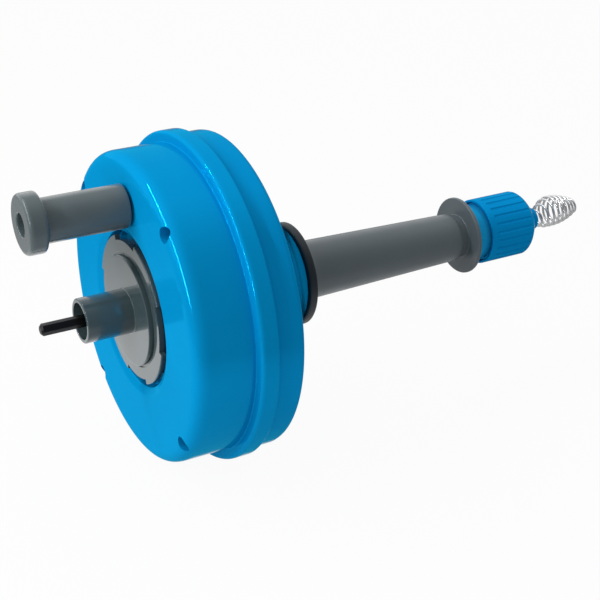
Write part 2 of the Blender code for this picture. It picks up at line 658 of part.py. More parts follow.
def rear_envelope(cutters):
    """The rear shell's outside without the pocket, a little inside its skin."""
    margin = WALL * 0.4
    edge_x = REAR_FACE_X + REAR_EDGE_RADIUS
    edge_r = DRUM_RADIUS - REAR_EDGE_RADIUS
    points = [(PARTING_X, 0.0), (PARTING_X, DRUM_RADIUS - margin)]
    points += arc((edge_x, edge_r), REAR_EDGE_RADIUS - margin, 90, 180, 6)
    points += [(REAR_FACE_X + margin, 0.0)]
    return turned("rear_envelope", points, None, cutters, DRUM_STEPS, closed=False)


def rear_shell(parts, cutters):
    shell = turned("rear_shell", rear_shell_outline(), blue_plastic("rear shell blue"),
                   parts, DRUM_STEPS)
    front = PARTING_X - SEAT_GAP / 2
    places = screw_places()
    knob = on_circle(KNOB_CIRCLE, KNOB_ANGLE)
    anchor = anchor_screw_place()
    bead_room = REAR_FACE_X + WALL * 0.5
    join(shell, bosses("rear_bosses", REAR_FACE_X, front, SHELL_BOSS_RADIUS, places,
                       rear_envelope(cutters), cutters))
    join(shell, bars("knob_pad", bead_room, REAR_WALL_X + KNOB_PAD_HEIGHT, KNOB_PAD_RADIUS,
                     [knob], cutters, ROUND_STEPS))
    join(shell, bars("anchor_boss", bead_room, ANCHOR_REAR_X - SEAT_GAP, ANCHOR_BOSS_RADIUS,
                     [anchor], cutters))
    head_seat = REAR_FACE_X + COUNTERBORE_DEPTH
    outside = REAR_FACE_X - WALL
    cut(shell, bars("counterbores", outside, head_seat, COUNTERBORE_RADIUS, places, cutters, 20))
    cut(shell, bars("screw_holes", outside, front + WALL, SHELL_SCREW_RADIUS + RUNNING_GAP,
                    places, cutters, 12))
    cut(shell, bars("knob_hole", outside, REAR_WALL_X + KNOB_PAD_HEIGHT + WALL,
                    KNOB_BOLT_RADIUS + RUNNING_GAP, [knob], cutters, ROUND_STEPS // 2))
    cut(shell, bars("anchor_pilot", REAR_WALL_X - WALL * 0.2, ANCHOR_REAR_X + WALL,
                    ANCHOR_SCREW_RADIUS + RUNNING_GAP, [anchor], cutters, 12))
    low = (SHELF_REAR_X - WALL, SHELF_BORE_RADIUS - WALL, -LUG_WIDTH / 2 - 2 * SEAT_GAP)
    high = (SHELF_FRONT_X + WALL, SHELF_BORE_RADIUS + LUG_REACH + 2 * SEAT_GAP,
            LUG_WIDTH / 2 + 2 * SEAT_GAP)
    slots = blocks("shelf_slots", low, high, angles_around(LUG_COUNT, LUG_START - LUG_TURN), cutters)
    cut(shell, slots)
    return shell


def shell_screw(number, place, parts):
    seat = REAR_FACE_X + COUNTERBORE_DEPTH - SEAT_GAP
    tip = PARTING_X + SHELL_SCREW_REACH
    head_top = seat - SHELL_SCREW_HEAD_HEIGHT
    outline = [(tip, 0.0), (tip - SHELL_SCREW_RADIUS, SHELL_SCREW_RADIUS), (seat, SHELL_SCREW_RADIUS)]
    outline += [(seat, SHELL_SCREW_HEAD_RADIUS), (head_top + SHELL_SCREW_HEAD_HEIGHT * 0.4,
                SHELL_SCREW_HEAD_RADIUS), (head_top, SHELL_SCREW_HEAD_RADIUS * 0.6), (head_top, 0.0)]
    return turned(f"shell_screw_{number}", outline, bright_steel(f"shell screw {number} steel"),
                  parts, 12, closed=False, place=place)


# --- Hub cap and drive shank ------------------------------------------------
def hub_cap_outline():
    """Boss tube with its recess, disc, groove, ring, seat rib and skirt."""
    groove_x = CAP_RING_X + CAP_GROOVE * 0.8
    groove_r = CAP_DISC_RADIUS + CAP_GROOVE
    seat_x = SHELF_REAR_X - SEAT_GAP
    skirt = SHELF_BORE_RADIUS - SEAT_GAP
    skirt_bore = skirt - CAP_SKIRT_THICKNESS
    skirt_end = SHELF_FRONT_X + SEAT_GAP + LUG_THICKNESS
    hole = SHANK_STUD_RADIUS + RUNNING_GAP
    rim = (BOSS_TUBE_RADIUS - BOSS_RECESS_RADIUS) * 0.35
    points = [(CAP_INNER_X, hole), (CAP_INNER_X, skirt_bore), (skirt_end, skirt_bore)]
    points += [(skirt_end, skirt), (seat_x, skirt), (seat_x, CAP_SEAT_RADIUS)]
    points += [(CAP_INNER_X, CAP_SEAT_RADIUS), (CAP_INNER_X, CAP_RADIUS)]
    points += [(CAP_RING_X + CAP_GROOVE * 0.5, CAP_RADIUS), (CAP_RING_X, CAP_RADIUS - CAP_GROOVE * 0.5)]
    points += [(CAP_RING_X, groove_r), (groove_x, groove_r), (groove_x, CAP_DISC_RADIUS)]
    points += [(CAP_DISC_X + CAP_GROOVE * 0.4, CAP_DISC_RADIUS)]
    points += [(CAP_DISC_X, CAP_DISC_RADIUS - CAP_GROOVE * 0.4), (CAP_DISC_X, BOSS_TUBE_RADIUS)]
    points += [(BOSS_END_X + rim, BOSS_TUBE_RADIUS), (BOSS_END_X, BOSS_TUBE_RADIUS - rim)]
    points += [(BOSS_END_X, BOSS_RECESS_RADIUS), (BOSS_FLOOR_X, BOSS_RECESS_RADIUS)]
    points += [(BOSS_FLOOR_X, hole)]
    return points


def hub_cap(parts, cutters):
    cap = turned("hub_cap", hub_cap_outline(), grey_plastic("hub cap grey"), parts, CAP_STEPS)
    low = (SHELF_FRONT_X + SEAT_GAP, SHELF_BORE_RADIUS - CAP_SKIRT_THICKNESS * 0.6, -LUG_WIDTH / 2)
    high = (SHELF_FRONT_X + SEAT_GAP + LUG_THICKNESS * 0.9, SHELF_BORE_RADIUS + LUG_REACH, LUG_WIDTH / 2)
    join(cap, blocks("cap_lugs", low, high, angles_around(LUG_COUNT, LUG_START), cutters))
    notch_floor = CAP_RADIUS - CAP_NOTCH_DEPTH
    ring = tube("notch_ring", CAP_RING_X - WALL, CAP_INNER_X + WALL * 0.3, notch_floor,
                CAP_RADIUS + WALL, None, cutters, CAP_STEPS)
    half = CAP_RADIUS * math.tan(math.radians(CAP_NOTCH_ARC / 2))
    low = (CAP_RING_X - 2 * WALL, notch_floor * 0.5, -half)
    high = (CAP_INNER_X + WALL, CAP_RADIUS + 2 * WALL, half)
    sectors = blocks("notch_sectors", low, high, angles_around(CAP_NOTCH_COUNT, CAP_NOTCH_START), cutters)
    cut(cap, combine(ring, sectors, "INTERSECT"))
    return cap


def drive_shank(parts, cutters):
    """Hexagonal end for a drill chuck on a round stud with a flange inside."""
    nut_end = BOSS_FLOOR_X - SEAT_GAP - SHANK_NUT_THICKNESS
    corner = SHANK_FLATS / math.sqrt(3)
    flange_rear = CAP_INNER_X + SEAT_GAP
    flange_front = flange_rear + SHANK_FLANGE_THICKNESS
    stud_end = nut_end - SHANK_STUD_RADIUS * 0.4
    outline = [(flange_front, 0.0), (flange_front, SHANK_FLANGE_RADIUS), (flange_rear, SHANK_FLANGE_RADIUS)]
    outline += [(flange_rear, SHANK_STUD_RADIUS), (stud_end, SHANK_STUD_RADIUS)]
    outline += [(stud_end, SHANK_FLATS * 0.4), (stud_end + SHANK_FLATS * 0.6, 0.0)]
    stud = turned("drive_shank", outline, black_steel("shank black"), parts, 24, closed=False)
    blank = hexagon_bar("shank_hexagon", SHANK_TIP_X, stud_end + SHANK_FLATS, SHANK_FLATS, None, cutters)
    chamfer = corner * 0.45
    tip = [(stud_end + 2 * SHANK_FLATS, 0.0), (stud_end + 2 * SHANK_FLATS, corner * 1.2)]
    tip += [(SHANK_TIP_X + chamfer, corner * 1.2), (SHANK_TIP_X + chamfer, corner), (SHANK_TIP_X, corner - chamfer)]
    tip += [(SHANK_TIP_X, 0.0)]
    envelope = turned("shank_envelope", tip, None, cutters, 24, closed=False)
    combine(blank, envelope, "INTERSECT")
    return join(stud, blank)


def pierced_hexagon(name, rear, front, flats, bore, material, parts, cutters, place=(0.0, 0.0)):
    """A hexagonal nut."""
    nut = hexagon_bar(name, rear, front, flats, material, parts, place)
    return cut(nut, bars(name + "_bore", rear - WALL, front + WALL, bore, [place], cutters))


def shank_nut(parts, cutters):
    front = BOSS_FLOOR_X - SEAT_GAP
    return pierced_hexagon("shank_nut", front - SHANK_NUT_THICKNESS, front, SHANK_NUT_FLATS,
                           SHANK_STUD_RADIUS + RUNNING_GAP, yellow_brass("shank nut brass"),
                           parts, cutters)


# --- Crank knob -------------------------------------------------------------
def knob_outline():
    """Plain sleeve with a flanged head, a recess for the bolt's head and a bore."""
    head_x = KNOB_END_X + KNOB_HEAD_LENGTH
    round_end = KNOB_HEAD_ROUND
    edge = KNOB_EDGE
    bore = KNOB_BOLT_RADIUS + RUNNING_GAP
    recess_x = KNOB_END_X + KNOB_RECESS_DEPTH
    points = [(KNOB_SEAT_X, bore), (KNOB_SEAT_X, KNOB_RADIUS - edge), (KNOB_SEAT_X - edge, KNOB_RADIUS)]
    points += [(head_x + edge * 1.6, KNOB_RADIUS)]
    points += arc((head_x - edge * 1.5, KNOB_HEAD_RADIUS - edge * 1.5), edge * 1.5, 0, 90, 2)
    points += arc((KNOB_END_X + round_end, KNOB_HEAD_RADIUS - round_end), round_end, 90, 180, 4)
    points += [(KNOB_END_X + edge * 0.6, KNOB_RECESS_RADIUS + edge), (KNOB_END_X + edge, KNOB_RECESS_RADIUS)]
    points += [(recess_x, KNOB_RECESS_RADIUS), (recess_x, bore)]
    return points


def crank_knob(parts):
    return turned("crank_knob", knob_outline(), grey_plastic("knob grey"), parts,
                  place=on_circle(KNOB_CIRCLE, KNOB_ANGLE))


def knob_bolt(parts):
    seat = KNOB_END_X + KNOB_RECESS_DEPTH - SEAT_GAP
    top = seat - KNOB_BOLT_HEAD_HEIGHT
    tip = KNOB_BOLT_TIP_X
    radius = KNOB_BOLT_HEAD_RADIUS
    socket = radius * 0.45
    outline = [(tip, 0.0), (tip, KNOB_BOLT_RADIUS * 0.8), (tip - KNOB_BOLT_RADIUS * 0.2, KNOB_BOLT_RADIUS)]
    outline += [(seat, KNOB_BOLT_RADIUS), (seat, radius), (top + radius * 0.2, radius)]
    outline += [(top, radius * 0.75), (top, socket), (top + socket * 0.8, socket), (top + socket * 0.8, 0.0)]
    return turned("knob_bolt", outline, bright_steel("knob bolt steel"), parts, 20, closed=False,
                  place=on_circle(KNOB_CIRCLE, KNOB_ANGLE))


def knob_washer(parts):
    rear = KNOB_SEAT_X + SEAT_GAP
    return tube("knob_washer", rear, rear + KNOB_WASHER_THICKNESS, KNOB_BOLT_RADIUS + RUNNING_GAP,
                KNOB_WASHER_RADIUS, bright_steel("knob washer steel"), parts, 24,
                on_circle(KNOB_CIRCLE, KNOB_ANGLE))


def knob_nut(parts, cutters):
    return pierced_hexagon("knob_nut", KNOB_NUT_X, KNOB_NUT_X + KNOB_NUT_THICKNESS, KNOB_NUT_FLATS,
                           KNOB_BOLT_RADIUS + RUNNING_GAP, bright_steel("knob nut steel"),
                           parts, cutters, on_circle(KNOB_CIRCLE, KNOB_ANGLE))


# --- Spindle ----------------------------------------------------------------
def spindle_screw_places():
    return [on_circle(SPINDLE_SCREW_CIRCLE, degrees)
            for degrees in angles_around(SPINDLE_SCREW_COUNT, 90.0)]


def spindle_tube(parts, cutters):
    flange_front = SOCKET_REAR_X - SEAT_GAP
    flange_rear = flange_front - SPINDLE_FLANGE_THICKNESS
    flare = WALL * 0.5
    outline = [(SPINDLE_FRONT_X, SPINDLE_BORE_RADIUS), (SPINDLE_FRONT_X, SPINDLE_RADIUS)]
    outline += [(flange_front, SPINDLE_RADIUS), (flange_front, SPINDLE_FLANGE_RADIUS)]
    outline += [(flange_rear, SPINDLE_FLANGE_RADIUS), (flange_rear, SPINDLE_BORE_RADIUS + flare)]
    outline += [(flange_rear + flare, SPINDLE_BORE_RADIUS)]
    spindle = turned("spindle_tube", outline, bright_steel("spindle steel"), parts)
    holes = bars("flange_holes", flange_rear - WALL, flange_front + WALL,
                 SPINDLE_SCREW_RADIUS + RUNNING_GAP, spindle_screw_places(), cutters, 10)
    return cut(spindle, holes)


def spindle_screw(number, place, parts):
    seat = SOCKET_REAR_X - SPINDLE_FLANGE_THICKNESS - 2 * SEAT_GAP
    tip = SOCKET_REAR_X + SPINDLE_SCREW_LENGTH - WALL * 0.5
    top = seat - SPINDLE_SCREW_HEAD_RADIUS * 0.7
    outline = [(tip, 0.0), (tip - SPINDLE_SCREW_RADIUS, SPINDLE_SCREW_RADIUS), (seat, SPINDLE_SCREW_RADIUS)]
    outline += [(seat, SPINDLE_SCREW_HEAD_RADIUS), (top, SPINDLE_SCREW_HEAD_RADIUS * 0.7), (top, 0.0)]
    return turned(f"spindle_screw_{number}", outline, bright_steel(f"spindle screw {number} steel"),
                  parts, 10, closed=False, place=place)


# --- Chuck ------------------------------------------------------------------
def cone_radius(x):
    """Radius of the chuck body's inner cone at x."""
    share = (x - CONE_REAR_X) / (CHUCK_FRONT_X - CONE_REAR_X)
    return CONE_SMALL_RADIUS + share * (CONE_LARGE_RADIUS - CONE_SMALL_RADIUS)


def chuck_body(parts, cutters):
    """Threaded collar on the end of the spindle: skirt over the grip, socket, cone."""
    bore = SPINDLE_RADIUS + SEAT_GAP
    socket_end = CHUCK_REAR_X + CHUCK_SOCKET_DEPTH
    chamfer = WALL * 0.4
    neck_end = CHUCK_REAR_X + CHUCK_NECK_LENGTH
    outline = [(CHUCK_FRONT_X, CONE_LARGE_RADIUS), (CHUCK_FRONT_X, CHUCK_RADIUS - chamfer)]
    outline += [(CHUCK_FRONT_X - chamfer, CHUCK_RADIUS), (neck_end, CHUCK_RADIUS)]
    outline += [(neck_end, CHUCK_NECK_RADIUS), (SKIRT_REAR_X, CHUCK_NECK_RADIUS)]
    outline += [(SKIRT_REAR_X, SKIRT_BORE_RADIUS), (CHUCK_REAR_X, SKIRT_BORE_RADIUS), (CHUCK_REAR_X, bore)]
    outline += [(socket_end, bore), (socket_end, CHUCK_THROAT_RADIUS), (CONE_REAR_X, CHUCK_THROAT_RADIUS)]
    outline += [(CONE_REAR_X, CONE_SMALL_RADIUS)]
    body = turned("chuck_body", outline, blue_plastic("chuck body blue"), parts)
    shape = bmesh.new()
    for degrees in angles_around(SET_SCREW_COUNT, 90.0):
        add_radial_bar(shape, SPINDLE_RADIUS, CHUCK_RADIUS + WALL, SET_SCREW_RADIUS + RUNNING_GAP, degrees)
    return cut(body, mesh_from("set_screw_holes", shape, None, cutters))


def add_radial_bar(shape, inner, outer, radius, degrees):
    """Add a cylinder that points away from the axis, where the set screws are."""
    x = CHUCK_REAR_X + SET_SCREW_SETBACK
    turn = Matrix.Rotation(math.radians(degrees - 90.0), 4, "X")
    shift = Matrix.Translation((x, 0.0, (inner + outer) / 2))
    bmesh.ops.create_cone(shape, cap_ends=True, segments=12, radius1=radius, radius2=radius,
                          depth=outer - inner, matrix=turn @ shift)


def set_screw(number, degrees, parts):
    shape = bmesh.new()
    add_radial_bar(shape, SPINDLE_RADIUS + 2 * SEAT_GAP, CHUCK_RADIUS - 2 * SEAT_GAP, SET_SCREW_RADIUS, degrees)
    return mesh_from(f"set_screw_{number}", shape, black_steel(f"set screw {number} steel"), parts)


def cable_collet(parts, cutters):
    """Slit cone that closes on the cable when the nut pushes it back."""
    wide = cone_radius(CHUCK_FRONT_X - CHUCK_TRAVEL) - SEAT_GAP
    narrow = cone_radius(COLLET_REAR_X - CHUCK_TRAVEL) - SEAT_GAP
    nose_radius = cone_radius(COLLET_FRONT_X - CHUCK_TRAVEL - COLLET_NOSE_LENGTH) - SEAT_GAP
    outline = [(COLLET_FRONT_X, COLLET_BORE_RADIUS), (COLLET_FRONT_X, nose_radius)]
    outline += [(CHUCK_FRONT_X, wide), (COLLET_REAR_X, narrow), (COLLET_REAR_X, COLLET_BORE_RADIUS)]
    collet = turned("cable_collet", outline, yellow_brass("collet brass"), parts)
    reach = CONE_LARGE_RADIUS + WALL
    low = (COLLET_REAR_X - WALL, -reach, -COLLET_SLIT_WIDTH / 2)
    high = (CHUCK_FRONT_X, reach, COLLET_SLIT_WIDTH / 2)
    for number, degrees in enumerate((45.0, 135.0), start=1):
        cut(collet, blocks(f"collet_slit_{number}", low, high, [degrees], cutters))
    return collet


def nut_washer(parts):
    rear = COLLET_FRONT_X + SEAT_GAP
    return tube("nut_washer", rear, rear + NUT_WASHER_THICKNESS, NUT_NOSE_BORE, NUT_WASHER_RADIUS,
                yellow_brass("nut washer brass"), parts, 24)


def nut_outline():
    """Fluted barrel, tapered shoulder and short nose around a stepped bore."""
    shoulder_x = NUT_FRONT_X - NUT_SHOULDER
    nose_x = NUT_FRONT_X - NUT_NOSE_LENGTH
    cone_x = nose_x - NUT_CONE_LENGTH
    edge = NUT_NOSE_RADIUS * 0.1
    bore = CHUCK_RADIUS + SEAT_GAP
    points = [(NUT_FRONT_X, NUT_NOSE_BORE), (NUT_FRONT_X, NUT_NOSE_RADIUS - edge)]
    points += [(NUT_FRONT_X - edge, NUT_NOSE_RADIUS), (nose_x, NUT_NOSE_RADIUS)]
    points += [(nose_x, NUT_CONE_FRONT_RADIUS)]
    slope = NUT_CONE_LENGTH / (NUT_CONE_REAR_RADIUS - NUT_CONE_FRONT_RADIUS)
    control = (cone_x - slope * (NUT_RADIUS - NUT_CONE_REAR_RADIUS), NUT_RADIUS)
    points += bend((cone_x, NUT_CONE_REAR_RADIUS), control, (shoulder_x, NUT_RADIUS), 4)
    points += [(NUT_REAR_X + edge, NUT_RADIUS), (NUT_REAR_X, NUT_RADIUS - edge), (NUT_REAR_X, bore)]
    points += [(NUT_CAVITY_X, bore), (NUT_CAVITY_X, NUT_NOSE_BORE)]
    return points


def chuck_nut(parts, cutters):
    nut = turned("chuck_nut", nut_outline(), blue_plastic("nut blue"), parts)
    circle = NUT_RADIUS + NUT_FLUTE_RADIUS - NUT_FLUTE_DEPTH
    places = [on_circle(circle, degrees) for degrees in angles_around(NUT_RIB_COUNT, 0.0)]
    flutes = bars("nut_flutes", NUT_REAR_X + NUT_NOSE_LENGTH, NUT_FRONT_X, NUT_FLUTE_RADIUS, places,
                  cutters, FLUTE_STEPS)
    return cut(nut, flutes)


# --- Cable ------------------------------------------------------------------
def ease(t):
    return t * t * (3 - 2 * t)


def cable_point(x, radius, turns):
    angle = math.radians(ANCHOR_ANGLE) + 2 * math.pi * turns
    return (x, radius * math.cos(angle), radius * math.sin(angle))


def cable_path():
    """From the anchor: outer layer forwards, inner layer back, then to the axis."""
    half_anchor = (ANCHOR_WIDTH / 2 + CABLE_RADIUS) / CABLE_OUTER_RADIUS / (2 * math.pi)
    step = 1 / CABLE_POINTS_PER_TURN
    points = [cable_point(ANCHOR_CABLE_X, CABLE_OUTER_RADIUS, -half_anchor)]
    turns = half_anchor
    while turns < CABLE_LEAD_IN:
        share = ease((turns - half_anchor) / (CABLE_LEAD_IN - half_anchor))
        x = ANCHOR_CABLE_X + share * (CABLE_REAR_X - ANCHOR_CABLE_X)
        points.append(cable_point(x, CABLE_OUTER_RADIUS, turns))
        turns += step
    start = turns
    while turns < start + CABLE_TURNS:
        x = CABLE_REAR_X + (turns - start) * CABLE_PITCH
        points.append(cable_point(x, CABLE_OUTER_RADIUS, turns))
        turns += step
    start = turns
    while turns < start + CABLE_CROSSING:
        share = ease((turns - start) / CABLE_CROSSING)
        radius = CABLE_OUTER_RADIUS - share * (CABLE_OUTER_RADIUS - CABLE_INNER_RADIUS)
        points.append(cable_point(CABLE_FRONT_X, radius, turns))
        turns += step
    start = turns
    while turns < start + CABLE_TURNS:
        x = CABLE_FRONT_X - (turns - start) * CABLE_PITCH
        points.append(cable_point(x, CABLE_INNER_RADIUS, turns))
        turns += step
    return points + run_to_spindle(turns)


def run_to_spindle(turns):
    """The last stretch winds in from the inner layer and straightens on the axis."""
    points = []
    for index in range(1, CABLE_WIND_IN_POINTS + 1):
        t = index / CABLE_WIND_IN_POINTS
        radius = CABLE_INNER_RADIUS * (1 - ease(min(1.0, t / 0.86)))
        x = CABLE_REAR_X + (CABLE_JOINT_X - CABLE_REAR_X) * t ** 2.2
        points.append(cable_point(x, radius, turns + CABLE_WIND_IN * t))
    return points


def cable_coil(parts):
    return wire("cable_coil", cable_path(), CABLE_RADIUS, bright_steel("cable steel"), parts)


def anchor_screw_place():
    return on_circle(CABLE_OUTER_RADIUS - ANCHOR_SCREW_INSET, ANCHOR_ANGLE)


def cable_anchor(parts, cutters):
    """Clamp block on the rear wall, bored across for the end of the cable."""
    outer = CABLE_OUTER_RADIUS + CABLE_RADIUS + SEAT_GAP
    low = (ANCHOR_REAR_X, outer - ANCHOR_LENGTH, -ANCHOR_WIDTH / 2)
    high = (ANCHOR_FRONT_X, outer, ANCHOR_WIDTH / 2)
    block = blocks("cable_anchor", low, high, [ANCHOR_ANGLE], parts, bright_steel("anchor steel"))
    trench_low = (ANCHOR_CABLE_X - CABLE_RADIUS - 2 * SEAT_GAP, CABLE_OUTER_RADIUS - CABLE_RADIUS - 3 * SEAT_GAP,
                  -ANCHOR_WIDTH)
    trench_high = (ANCHOR_CABLE_X + CABLE_RADIUS + 2 * SEAT_GAP, outer + WALL, ANCHOR_WIDTH)
    cut(block, blocks("anchor_trench", trench_low, trench_high, [ANCHOR_ANGLE], cutters))
    hole = ANCHOR_SCREW_RADIUS + RUNNING_GAP
    return cut(block, bars("anchor_hole", ANCHOR_REAR_X - WALL, ANCHOR_FRONT_X + WALL, hole,
                           [anchor_screw_place()], cutters, 12))


def anchor_screw(parts):
    tip = REAR_WALL_X + SEAT_GAP
    seat = ANCHOR_FRONT_X + SEAT_GAP
    top = seat + ANCHOR_SCREW_RADIUS * 1.4
    head = ANCHOR_SCREW_RADIUS * 2
    outline = [(top, 0.0), (top, head * 0.7), (seat, head), (seat, ANCHOR_SCREW_RADIUS)]
    outline += [(tip + ANCHOR_SCREW_RADIUS, ANCHOR_SCREW_RADIUS), (tip, 0.0)]
    return turned("anchor_screw", outline, bright_steel("anchor screw steel"), parts, 12,
                  closed=False, place=anchor_screw_place())


def cable_lead(parts):
    rear = CABLE_JOINT_X + SEAT_GAP
    front = NUT_FRONT_X - HEAD_GRIP_INSET + HEAD_GRIP_TURNS * 2 * WIRE_RADIUS
    return rod("cable_lead", rear, front, CABLE_RADIUS, bright_steel("lead steel"), parts, 12)


# --- Bulb head --------------------------------------------------------------
def head_radius(share, grip_radius):
    """Radius of the open coil along its length, from the close turns to the tip."""
    if share < HEAD_SWELL:
        left = 1 - share / HEAD_SWELL
        return grip_radius + (1 - left ** 2) * (HEAD_BULB_RADIUS - grip_radius)
    t = (share - HEAD_SWELL) / (1 - HEAD_SWELL)
    return HEAD_TIP_RADIUS + (HEAD_BULB_RADIUS - HEAD_TIP_RADIUS) * (1 - t ** 1.9)


def head_path():
    """Close turns on the end of the cable, then open turns that form the bulb."""
    grip_radius = CABLE_RADIUS + WIRE_RADIUS + SEAT_GAP
    grip_pitch = 2 * WIRE_RADIUS + SEAT_GAP
    start_x = NUT_FRONT_X - HEAD_GRIP_INSET
    bulb_x = start_x + HEAD_GRIP_TURNS * grip_pitch
    bulb_length = HEAD_TIP_X - WIRE_RADIUS - bulb_x
    points = []
    for index in range((HEAD_GRIP_TURNS + HEAD_BULB_TURNS) * HEAD_POINTS_PER_TURN + 1):
        turns = index / HEAD_POINTS_PER_TURN
        angle = 2 * math.pi * turns
        share = max(0.0, (turns - HEAD_GRIP_TURNS) / HEAD_BULB_TURNS)
        x = start_x + min(turns, HEAD_GRIP_TURNS) * grip_pitch + share * bulb_length
        radius = head_radius(share, grip_radius)
        lift = HEAD_LIFT * ease(min(1.0, share / HEAD_SWELL))
        points.append((x, radius * math.cos(angle), radius * math.sin(angle) + lift))
    return points


def auger_head(parts):
    return wire("auger_head", head_path(), WIRE_RADIUS, bright_steel("head steel"), parts)


# --- Assembly ---------------------------------------------------------------
def build():
    clear_scene()
    parts = new_collection("drain_snake")
    cutters = new_collection("cutters")

    grip_sleeve(parts)
    grip_bush("rear_grip_bush", GRIP_REAR_X, 1, parts)
    grip_bush("front_grip_bush", GRIP_FRONT_X, -1, parts)
    rear_thrust_washer(parts)
    front_thrust_washer(parts)

    rear_shell(parts, cutters)
    front_shell(parts, cutters)
    for number, place in enumerate(screw_places(), start=1):
        shell_screw(number, place, parts)

    hub_cap(parts, cutters)
    drive_shank(parts, cutters)
    shank_nut(parts, cutters)

    crank_knob(parts)
    knob_bolt(parts)
    knob_washer(parts)
    knob_nut(parts, cutters)

    spindle_tube(parts, cutters)
    for number, place in enumerate(spindle_screw_places(), start=1):
        spindle_screw(number, place, parts)

    chuck_body(parts, cutters)
    for number, degrees in enumerate(angles_around(SET_SCREW_COUNT, 90.0), start=1):
        set_screw(number, degrees, parts)
    cable_collet(parts, cutters)
    nut_washer(parts)
    chuck_nut(parts, cutters)

    cable_anchor(parts, cutters)
    anchor_screw(parts)
    cable_coil(parts)
    cable_lead(parts)
    auger_head(parts)

    for thing in cutters.objects:
        thing.hide_render = True
        thing.display_type = "WIRE"


build()
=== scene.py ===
import math

import bmesh
import bpy
from mathutils import Matrix, Vector


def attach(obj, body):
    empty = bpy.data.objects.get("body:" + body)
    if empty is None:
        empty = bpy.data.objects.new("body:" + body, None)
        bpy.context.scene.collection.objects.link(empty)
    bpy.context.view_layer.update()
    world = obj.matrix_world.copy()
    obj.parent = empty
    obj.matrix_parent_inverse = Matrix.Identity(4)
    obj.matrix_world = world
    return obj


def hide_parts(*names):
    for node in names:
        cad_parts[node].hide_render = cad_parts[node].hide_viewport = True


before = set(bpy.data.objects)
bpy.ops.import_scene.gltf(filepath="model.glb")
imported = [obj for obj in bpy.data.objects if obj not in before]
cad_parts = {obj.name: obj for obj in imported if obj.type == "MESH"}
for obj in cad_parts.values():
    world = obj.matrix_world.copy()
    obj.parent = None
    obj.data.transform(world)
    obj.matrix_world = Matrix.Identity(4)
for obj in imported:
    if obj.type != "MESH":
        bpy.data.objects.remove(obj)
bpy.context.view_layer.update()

# --- Rear drum shell ---------------------------------------------------------
# The deep cup behind, moulded in glossy blue ABS around four screw bosses.  It
# holds the coiled cable; the hub cap sits in the pocket in its middle.


def bend(start, control, end, count):
    """Points of a curve from start to end that is drawn to the control point."""
    points = []
    for index in range(count + 1):
        t = index / count
        weights = ((1 - t) ** 2, 2 * t * (1 - t), t ** 2)
        points.append(tuple(sum(w * p[axis] for w, p in zip(weights, (start, control, end)))
                            for axis in (0, 1)))
    return points


def rounded(corners):
    """An outline through corners (x, radius, rounding) in mm, with each corner rounded."""
    longest_share = 0.46    # of a side that one rounding may take
    broad = 2.0             # a rounding above this gets the finer steps
    margin = 1.2            # of the reach: an extra point on the side, beyond the rounding
    needed_side = 2.6       # of the reach: the least side that gets that point
    points = []
    for index, (x, r, size) in enumerate(corners):
        if size == 0:
            points.append((x, r))
            continue
        here = Vector((x, r))
        before = Vector(corners[index - 1][:2]) - here
        after = Vector(corners[(index + 1) % len(corners)][:2]) - here
        reach = min(size / math.tan(before.angle(after) / 2), longest_share * before.length,
                    longest_share * after.length)
        start = here + before.normalized() * reach
        end = here + after.normalized() * reach
        if before.length > needed_side * reach:
            points.append(tuple(here + before.normalized() * reach * margin))
        points += bend(start, here, end, 10 if size > broad else 5)
        if after.length > needed_side * reach:
            points.append(tuple(here + after.normalized() * reach * margin))
    return points


def on_circle(radius, degrees):
    """Place (y, z) in mm at an angle from +Y towards +Z about the drum's axis."""
    angle = math.radians(degrees)
    return radius * math.cos(angle), radius * math.sin(angle)


merge_distance = 0.000002   # metres


def turned(outline, steps=96, place=(0.0, 0.0), closed=True):
    """Spins an outline (x, radius) in mm about a line along X through a place (y, z)."""
    shape = bmesh.new()
    ring = [shape.verts.new((x / 1000, 0, r / 1000)) for x, r in outline]
    edges = [shape.edges.new(pair) for pair in zip(ring, ring[1:])]
    if closed:
        edges.append(shape.edges.new((ring[-1], ring[0])))
    bmesh.ops.spin(shape, geom=ring + edges, cent=(0, 0, 0), axis=(1, 0, 0), dvec=(0, 0, 0),
                   angle=2 * math.pi, steps=steps, use_merge=True, use_duplicate=False)
    bmesh.ops.remove_doubles(shape, verts=shape.verts, dist=merge_distance)
    bmesh.ops.translate(shape, verts=shape.verts, vec=(0, place[0] / 1000, place[1] / 1000))
    bmesh.ops.recalc_face_normals(shape, faces=shape.faces)
    return shape


def merged(shapes):
    """Several bmeshes in one."""
    whole = bmesh.new()
    for shape in shapes:
        mesh = bpy.data.meshes.new("loose shape")
        shape.to_mesh(mesh)
        shape.free()
        whole.from_mesh(mesh)
        bpy.data.meshes.remove(mesh)
    return whole


def carved(shape, other, operation="DIFFERENCE"):
    """One bmesh with another cut out of it, joined to it, or kept in common."""
    pair = []
    for source in (shape, other):
        mesh = bpy.data.meshes.new("carving")
        source.to_mesh(mesh)
        source.free()
        pair.append(bpy.data.objects.new("carving", mesh))
        bpy.context.scene.collection.objects.link(pair[-1])
    step = pair[0].modifiers.new("cut", "BOOLEAN")
    step.operation = operation
    step.solver = "EXACT"
    step.object = pair[1]
    bpy.context.view_layer.update()
    result = bmesh.new()
    result.from_object(pair[0], bpy.context.evaluated_depsgraph_get())
    for thing in pair:
        mesh = thing.data
        bpy.data.objects.remove(thing)
        bpy.data.meshes.remove(mesh)
    bmesh.ops.remove_doubles(result, verts=result.verts, dist=merge_distance)
    return result


